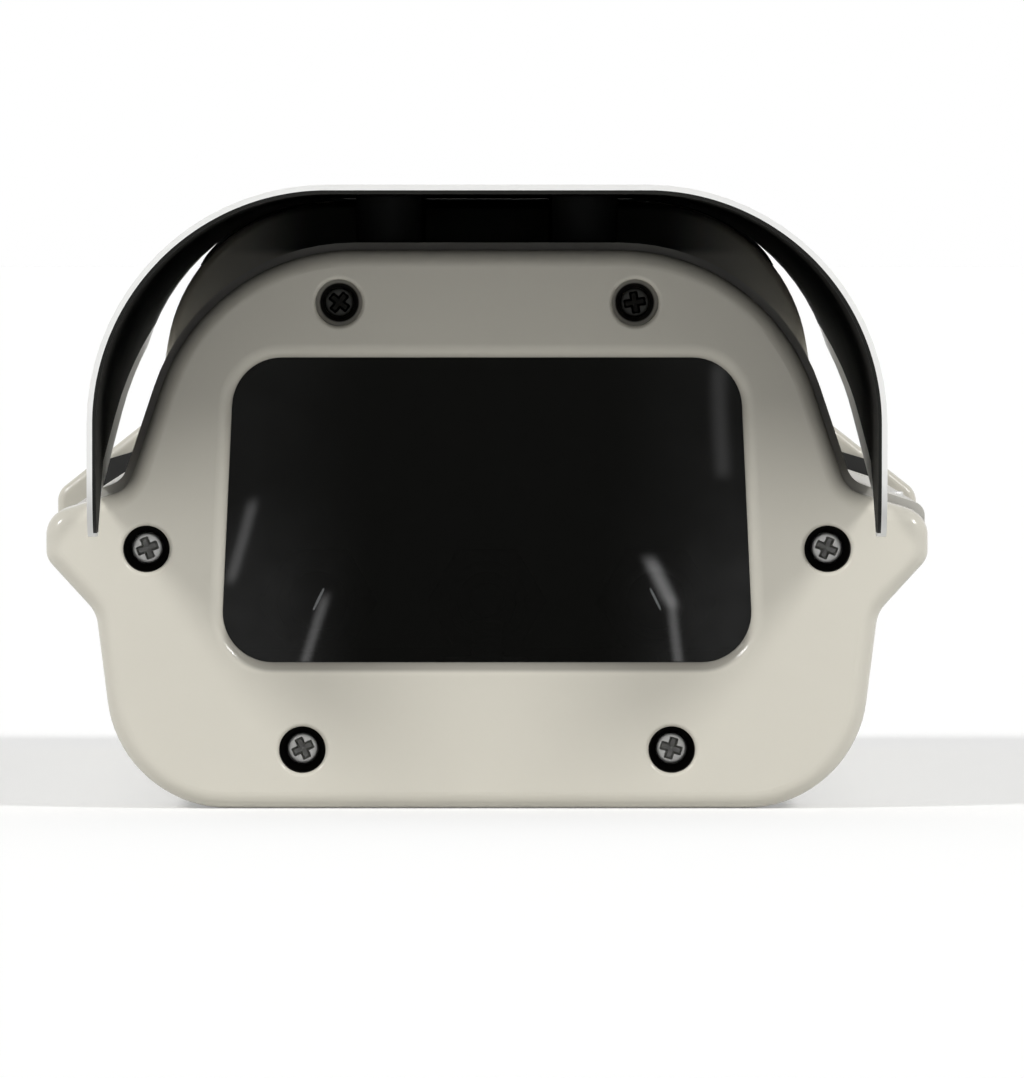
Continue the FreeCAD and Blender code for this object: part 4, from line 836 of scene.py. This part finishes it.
class HOUSING_OT_glands(HousingOperator, bpy.types.Operator):
    """Cable glands with ribbed caps, rubber inserts and inner nuts, and a plug in the middle one"""
    bl_idname = "housing.glands"
    bl_label = "Glands"

    def make(self, finish, fixing):
        corner = 12.0
        flat = corner * FLAT_SHARE
        body = np.vstack([
            rows([(6, 0), (6, -10), (7.6, -10), (8, -9.6)]),
            thread_rows(8, -9.5, -0.4, 0.7, 1.5),
            rows([(8, 0)]),
            rows([(flat, 0), (corner, 0.9), (corner, 4.1), (flat, 5)], kind=FLATS),
            rows([(7.6, 5), (7.6, 5.4)]),
            thread_rows(7.6, 5.5, 13.2, 0.6, 1.5),
            rows([(7.2, 14), (6, 14), (6, 0)])])
        line = rounded(
            [(7.8, 5), (7.8, 0), (10.5, 0), (10.5, 15), (5.5, 15), (5.5, 10.5), (7.8, 10.5), (7.8, 5)],
            [0.3, 0.6, 3.0, 0.6, 0.2, 0.0], 7)
        split = int(np.argmax((line[:, 0] == 10.5) & (line[:, 1] > 11.9)))
        side = np.column_stack([np.full(9, 10.5), np.linspace(1, 11.6, 9)])
        line = np.vstack([line[:split], side, line[split:]])
        cap = rows(line, (fixing.rib_depth / MM) * np.clip((11.5 - line[:, 1]) / 1.5, 0, 1) * (line[:, 0] > 10))
        bore, slit_lean = 3.5, 26
        line = rounded([(bore, 5), (bore, 0), (6, 0), (6, 10.5), (bore, 10.5), (bore, 5)], [0.3, 0.3, 0.5, 0.9], 5)
        insert = rows(line)
        insert[:, 3] = np.where(line[:, 0] < 4.5, SLIT, PLAIN)
        bodies, caps, inserts, nuts = [], [], [], []
        for x in GLAND_X:
            cap_place = (x, GLAND_CAP_SEAT, GLAND_HEIGHT)
            bodies.append(turned(body, (x, GLAND_WALL, GLAND_HEIGHT), "rear", 72, pitch=1.5, apothem=flat))
            caps.append(turned(cap, cap_place, "rear", fixing.cap_ribs * 8, grooves=fixing.cap_ribs))
            inserts.append(turned(insert, cap_place, "rear", slit=(bore, 3.3, 0.25) if x else None,
                                  turn=math.radians(90 - math.copysign(slit_lean, x))))
            nuts.append(turned(hexagon_nut(8.2, corner, 5, 0.9), (x, GLAND_NUT_SEAT, GLAND_HEIGHT), "rear", 72,
                               apothem=flat))
        for name, surfaces, finish_name, node in (
                ("threads", bodies, "gland_plastic", "bodies"), ("ribbed_caps", caps, "gland_plastic", "caps"),
                ("inserts", inserts, "black_rubber", "seals"), ("nuts", nuts, "gland_plastic", "locknuts")):
            piece("gland_" + name, surfaces, finish_name, "housing", "gland_" + node)
        plug = rows(rounded([(0, 0), (3.45, 0), (3.45, 10.5), (4.8, 10.5), (4.8, 11.6), (0, 11.9)],
                            [0.6, 0.0, 0.2, 0.5], 5))
        piece("gland_plug", [turned(plug, (0, GLAND_CAP_SEAT + 0.2, GLAND_HEIGHT), "rear")], "black_nylon", "housing")


class HOUSING_OT_hinge(HousingOperator, bpy.types.Operator):
    """Hinge pin with rounded ends"""
    bl_idname = "housing.hinge"
    bl_label = "Hinge pin"

    def make(self, finish, fixing):
        pin = rows(rounded([(0, 0), (1.5, 0), (1.5, HINGE_LENGTH), (0, HINGE_LENGTH)], [0.4, 0.4], 5))
        piece("hinge_rod", [turned(pin, HINGE_PLACE, "rear", 32)], "screw_steel", "housing", "hinge_pin")


def world_light(world, sky):
    """White for the camera, for mirrors and through glass, soft light for the rest.

    For light the strength is sky * (1 + 0.35 * y) * (1 - 0.4 * max(z, 0)) of the direction."""
    world.use_nodes = True
    tree = world.node_tree
    tree.nodes.clear()
    out = put(tree, "ShaderNodeOutputWorld")
    light = put(tree, "ShaderNodeBackground", Color=WHITE)
    x, y, z = parts_of(coordinate(tree, "Generated"))
    soft = (y * 0.35 + 1.0) * (largest(z, 0.0) * -0.4 + 1.0) * sky
    feed(seen_ray(tree) * (soft * -1.0 + 1.0) + soft, light.inputs["Strength"])
    wire(tree, light.outputs[0], out.inputs["Surface"])


def seen_ray(tree):
    """1 for rays that show a background: the camera's own, and those off a mirror or through glass."""
    paths = put(tree, "ShaderNodeLightPath").outputs
    return largest(*(Value(tree, paths[kind]) for kind in ("Is Camera Ray", "Is Glossy Ray", "Is Transmission Ray")))


def add_sun(name, spread, height, width, strength):
    """A lamp far off, at an angle to the right of the front and over the floor, as wide as a softbox."""
    data = bpy.data.lights.new(name, "SUN")
    data.angle, data.energy = width, strength
    lamp = bpy.data.objects.new(name, data)
    bpy.context.scene.collection.objects.link(lamp)
    toward = Vector((math.sin(spread) * math.cos(height), -math.cos(spread) * math.cos(height), math.sin(height)))
    lamp.location = toward * 2
    lamp.rotation_euler = (-toward).to_track_quat("-Z", "Y").to_euler()


def floor_paint(stage):
    """Pale matt paint; the camera, mirrors and glass see a share of white on top of its own light."""
    material, tree, shader = new_material("floor_paint", Roughness=0.95, Specular_IOR_Level=0.0)
    dress(tree, group_node(
        tree, "coat_texture", Color=rgba(stage.floor), Ripple_Scale=60.0, Ripple_Height=0.00002,
        Drift=0.01), shader, "Color", "Normal")
    glow = put(tree, "ShaderNodeEmission", Color=WHITE)
    feed(seen_ray(tree) * stage.floor_glow, glow.inputs["Strength"])
    both = put(tree, "ShaderNodeAddShader")
    wire(tree, shader.outputs[0], both.inputs[0])
    wire(tree, glow.outputs[0], both.inputs[1])
    wire(tree, both.outputs[0], tree.nodes["Material Output"].inputs["Surface"])
    return material


# The card's glowing streaks, painted reflections in the window: upper and lower end at the window in millimetres,
# width and strength
STREAKS = (
    ((-42.3, 55), (-46.3, 41), 1.6, 1.6), ((-29.2, 38.2), (-33.3, 25), 1.5, 2.0),
    ((29.4, 44.8), (33.3, 36.7), 2.2, 3.6), ((33.3, 37.5), (34.8, 25), 1.5, 2.2), ((41.5, 80), (42.5, 60), 2.4, 0.7))


def streak(u, v, start, end, width):
    """1 along a line between two places of (u, v), fading to 0 at its width and over 3 mm at its ends."""
    lean = (end[0] - start[0]) / (end[1] - start[1])
    off = abs(u - ((v - start[1] * MM) * lean + start[0] * MM))
    ends = (ramp(v, (end[1] - 1.5) * MM, (end[1] + 1.5) * MM)
            * ramp(v, (start[1] + 1.5) * MM, (start[1] - 1.5) * MM))
    return ends * ramp(off, width * MM, 0.0)


def painted_reflection_card(stage):
    """Dark paint with glowing pale patches and streaks: painted reflections and highlights, which lie soft in the
    window's mirror image.

    The camera sees the card's point (x, away) mirrored at the window's place u = x * distance / (distance + away),
    v = eye * away / (distance + away). The glow is 0.75 * side * (0.3 + 0.7 * low) * cloud + each streak * its
    strength."""
    material, tree, shader = new_material(
        "painted_reflection_card", Base_Color=(0.12, 0.12, 0.11, 1), Specular_IOR_Level=0.0, Emission_Strength=1.0)
    x, y, z = parts_of(coordinate(tree))
    away = y * -1.0 + CAP_LOW.y
    reach = away + stage.distance
    u, v = x * stage.distance / reach, away * stage.eye_height / reach
    cloud = noise(vector_of(u, v), 75.0, Detail=3.0, Roughness=0.55)
    glow = ramp(abs(u), 20 * MM, 46 * MM) * (ramp(v, 62 * MM, 34 * MM) * 0.7 + 0.3) * cloud * 0.75
    for start, end, width, strength in STREAKS:
        glow = streak(u, v, start, end, width) * strength + glow
    feed(glow, shader.inputs["Emission Color"])
    return material


def stage_sheet(name, corners, material):
    """A flat four-cornered sheet of the stage."""
    mesh = bpy.data.meshes.new(name)
    mesh.from_pydata(np.asarray(corners, float).tolist(), [], [(0, 1, 2, 3)])
    mesh.materials.append(material)
    sheet = bpy.data.objects.new(name, mesh)
    bpy.context.scene.collection.objects.link(sheet)
    return sheet


class HOUSING_OT_stage(bpy.types.Operator):
    """Floor, light, the camera in front of the window and the dark card, glowing with painted reflections, that only
    the window mirrors
    """
    bl_idname = "housing.stage"
    bl_label = "Stage"

    def execute(self, context):
        scene = context.scene
        stage = scene.housing_stage
        side = stage.floor_side
        low = -0.05 * MM
        stage_sheet("floor", [(-side, -side, low), (side, -side, low), (side, side, low), (-side, side, low)],
                    floor_paint(stage))
        # The card that glows with painted reflections, seen only in the window
        (near, narrow), (far, wide) = (
            (CAP_LOW.y - away, stage.card_reach * (1 + away / stage.distance))
            for away in (stage.card_start, stage.card_end))
        card = stage_sheet("card", [(-wide, far, 0), (wide, far, 0), (narrow, near, 0), (-narrow, near, 0)],
                           painted_reflection_card(stage))
        card.visible_camera = card.visible_diffuse = card.visible_shadow = False
        world = bpy.data.worlds.new("studio")
        scene.world = world
        world_light(world, stage.sky)
        for name, hand in (("key_left", -1), ("key_right", 1)):
            add_sun(name, hand * stage.key_spread, stage.key_height, stage.key_width, stage.key)
        camera_data = bpy.data.cameras.new("camera")
        camera_data.lens = stage.focal
        camera_data.clip_end = 200.0
        camera = bpy.data.objects.new("camera", camera_data)
        scene.collection.objects.link(camera)
        camera.location = (0.0, CAP_LOW.y - stage.distance, stage.eye_height)
        target = Vector((stage.aim_side, CAP_LOW.y, stage.aim_height))
        camera.rotation_euler = (target - camera.location).to_track_quat("-Z", "Y").to_euler()
        scene.camera = camera
        scene.view_settings.view_transform = "Standard"
        return {"FINISHED"}


OPERATORS = (
    HOUSING_OT_castings, HOUSING_OT_shells, HOUSING_OT_sunshield, HOUSING_OT_window, HOUSING_OT_gaskets,
    HOUSING_OT_casting_screws, HOUSING_OT_window_screws, HOUSING_OT_lid_screws, HOUSING_OT_shield_fixings,
    HOUSING_OT_tray_fixings, HOUSING_OT_glands, HOUSING_OT_hinge, HOUSING_OT_stage)


class HOUSING_PT_panel(bpy.types.Panel):
    """Buttons for the housing's finishes and pieces"""
    bl_idname = "HOUSING_PT_panel"
    bl_label = "Camera housing"
    bl_space_type = "VIEW_3D"
    bl_region_type = "UI"
    bl_category = "Housing"

    def draw(self, context):
        for operator in OPERATORS:
            self.layout.operator(operator.bl_idname)


CLASSES = (HousingFinishSettings, HousingFixingSettings, HousingStageSettings, *OPERATORS, HOUSING_PT_panel)


def register():
    for each in CLASSES:
        bpy.utils.register_class(each)
    bpy.types.Scene.housing_finish = PointerProperty(type=HousingFinishSettings)
    bpy.types.Scene.housing_fixing = PointerProperty(type=HousingFixingSettings)
    bpy.types.Scene.housing_stage = PointerProperty(type=HousingStageSettings)


def unregister():
    del bpy.types.Scene.housing_stage
    del bpy.types.Scene.housing_fixing
    del bpy.types.Scene.housing_finish
    for each in reversed(CLASSES):
        bpy.utils.unregister_class(each)


def main():
    register()
    for operator in OPERATORS:
        area, name = operator.bl_idname.split(".")
        getattr(getattr(bpy.ops, area), name)()


if __name__ == "__main__":
    main()
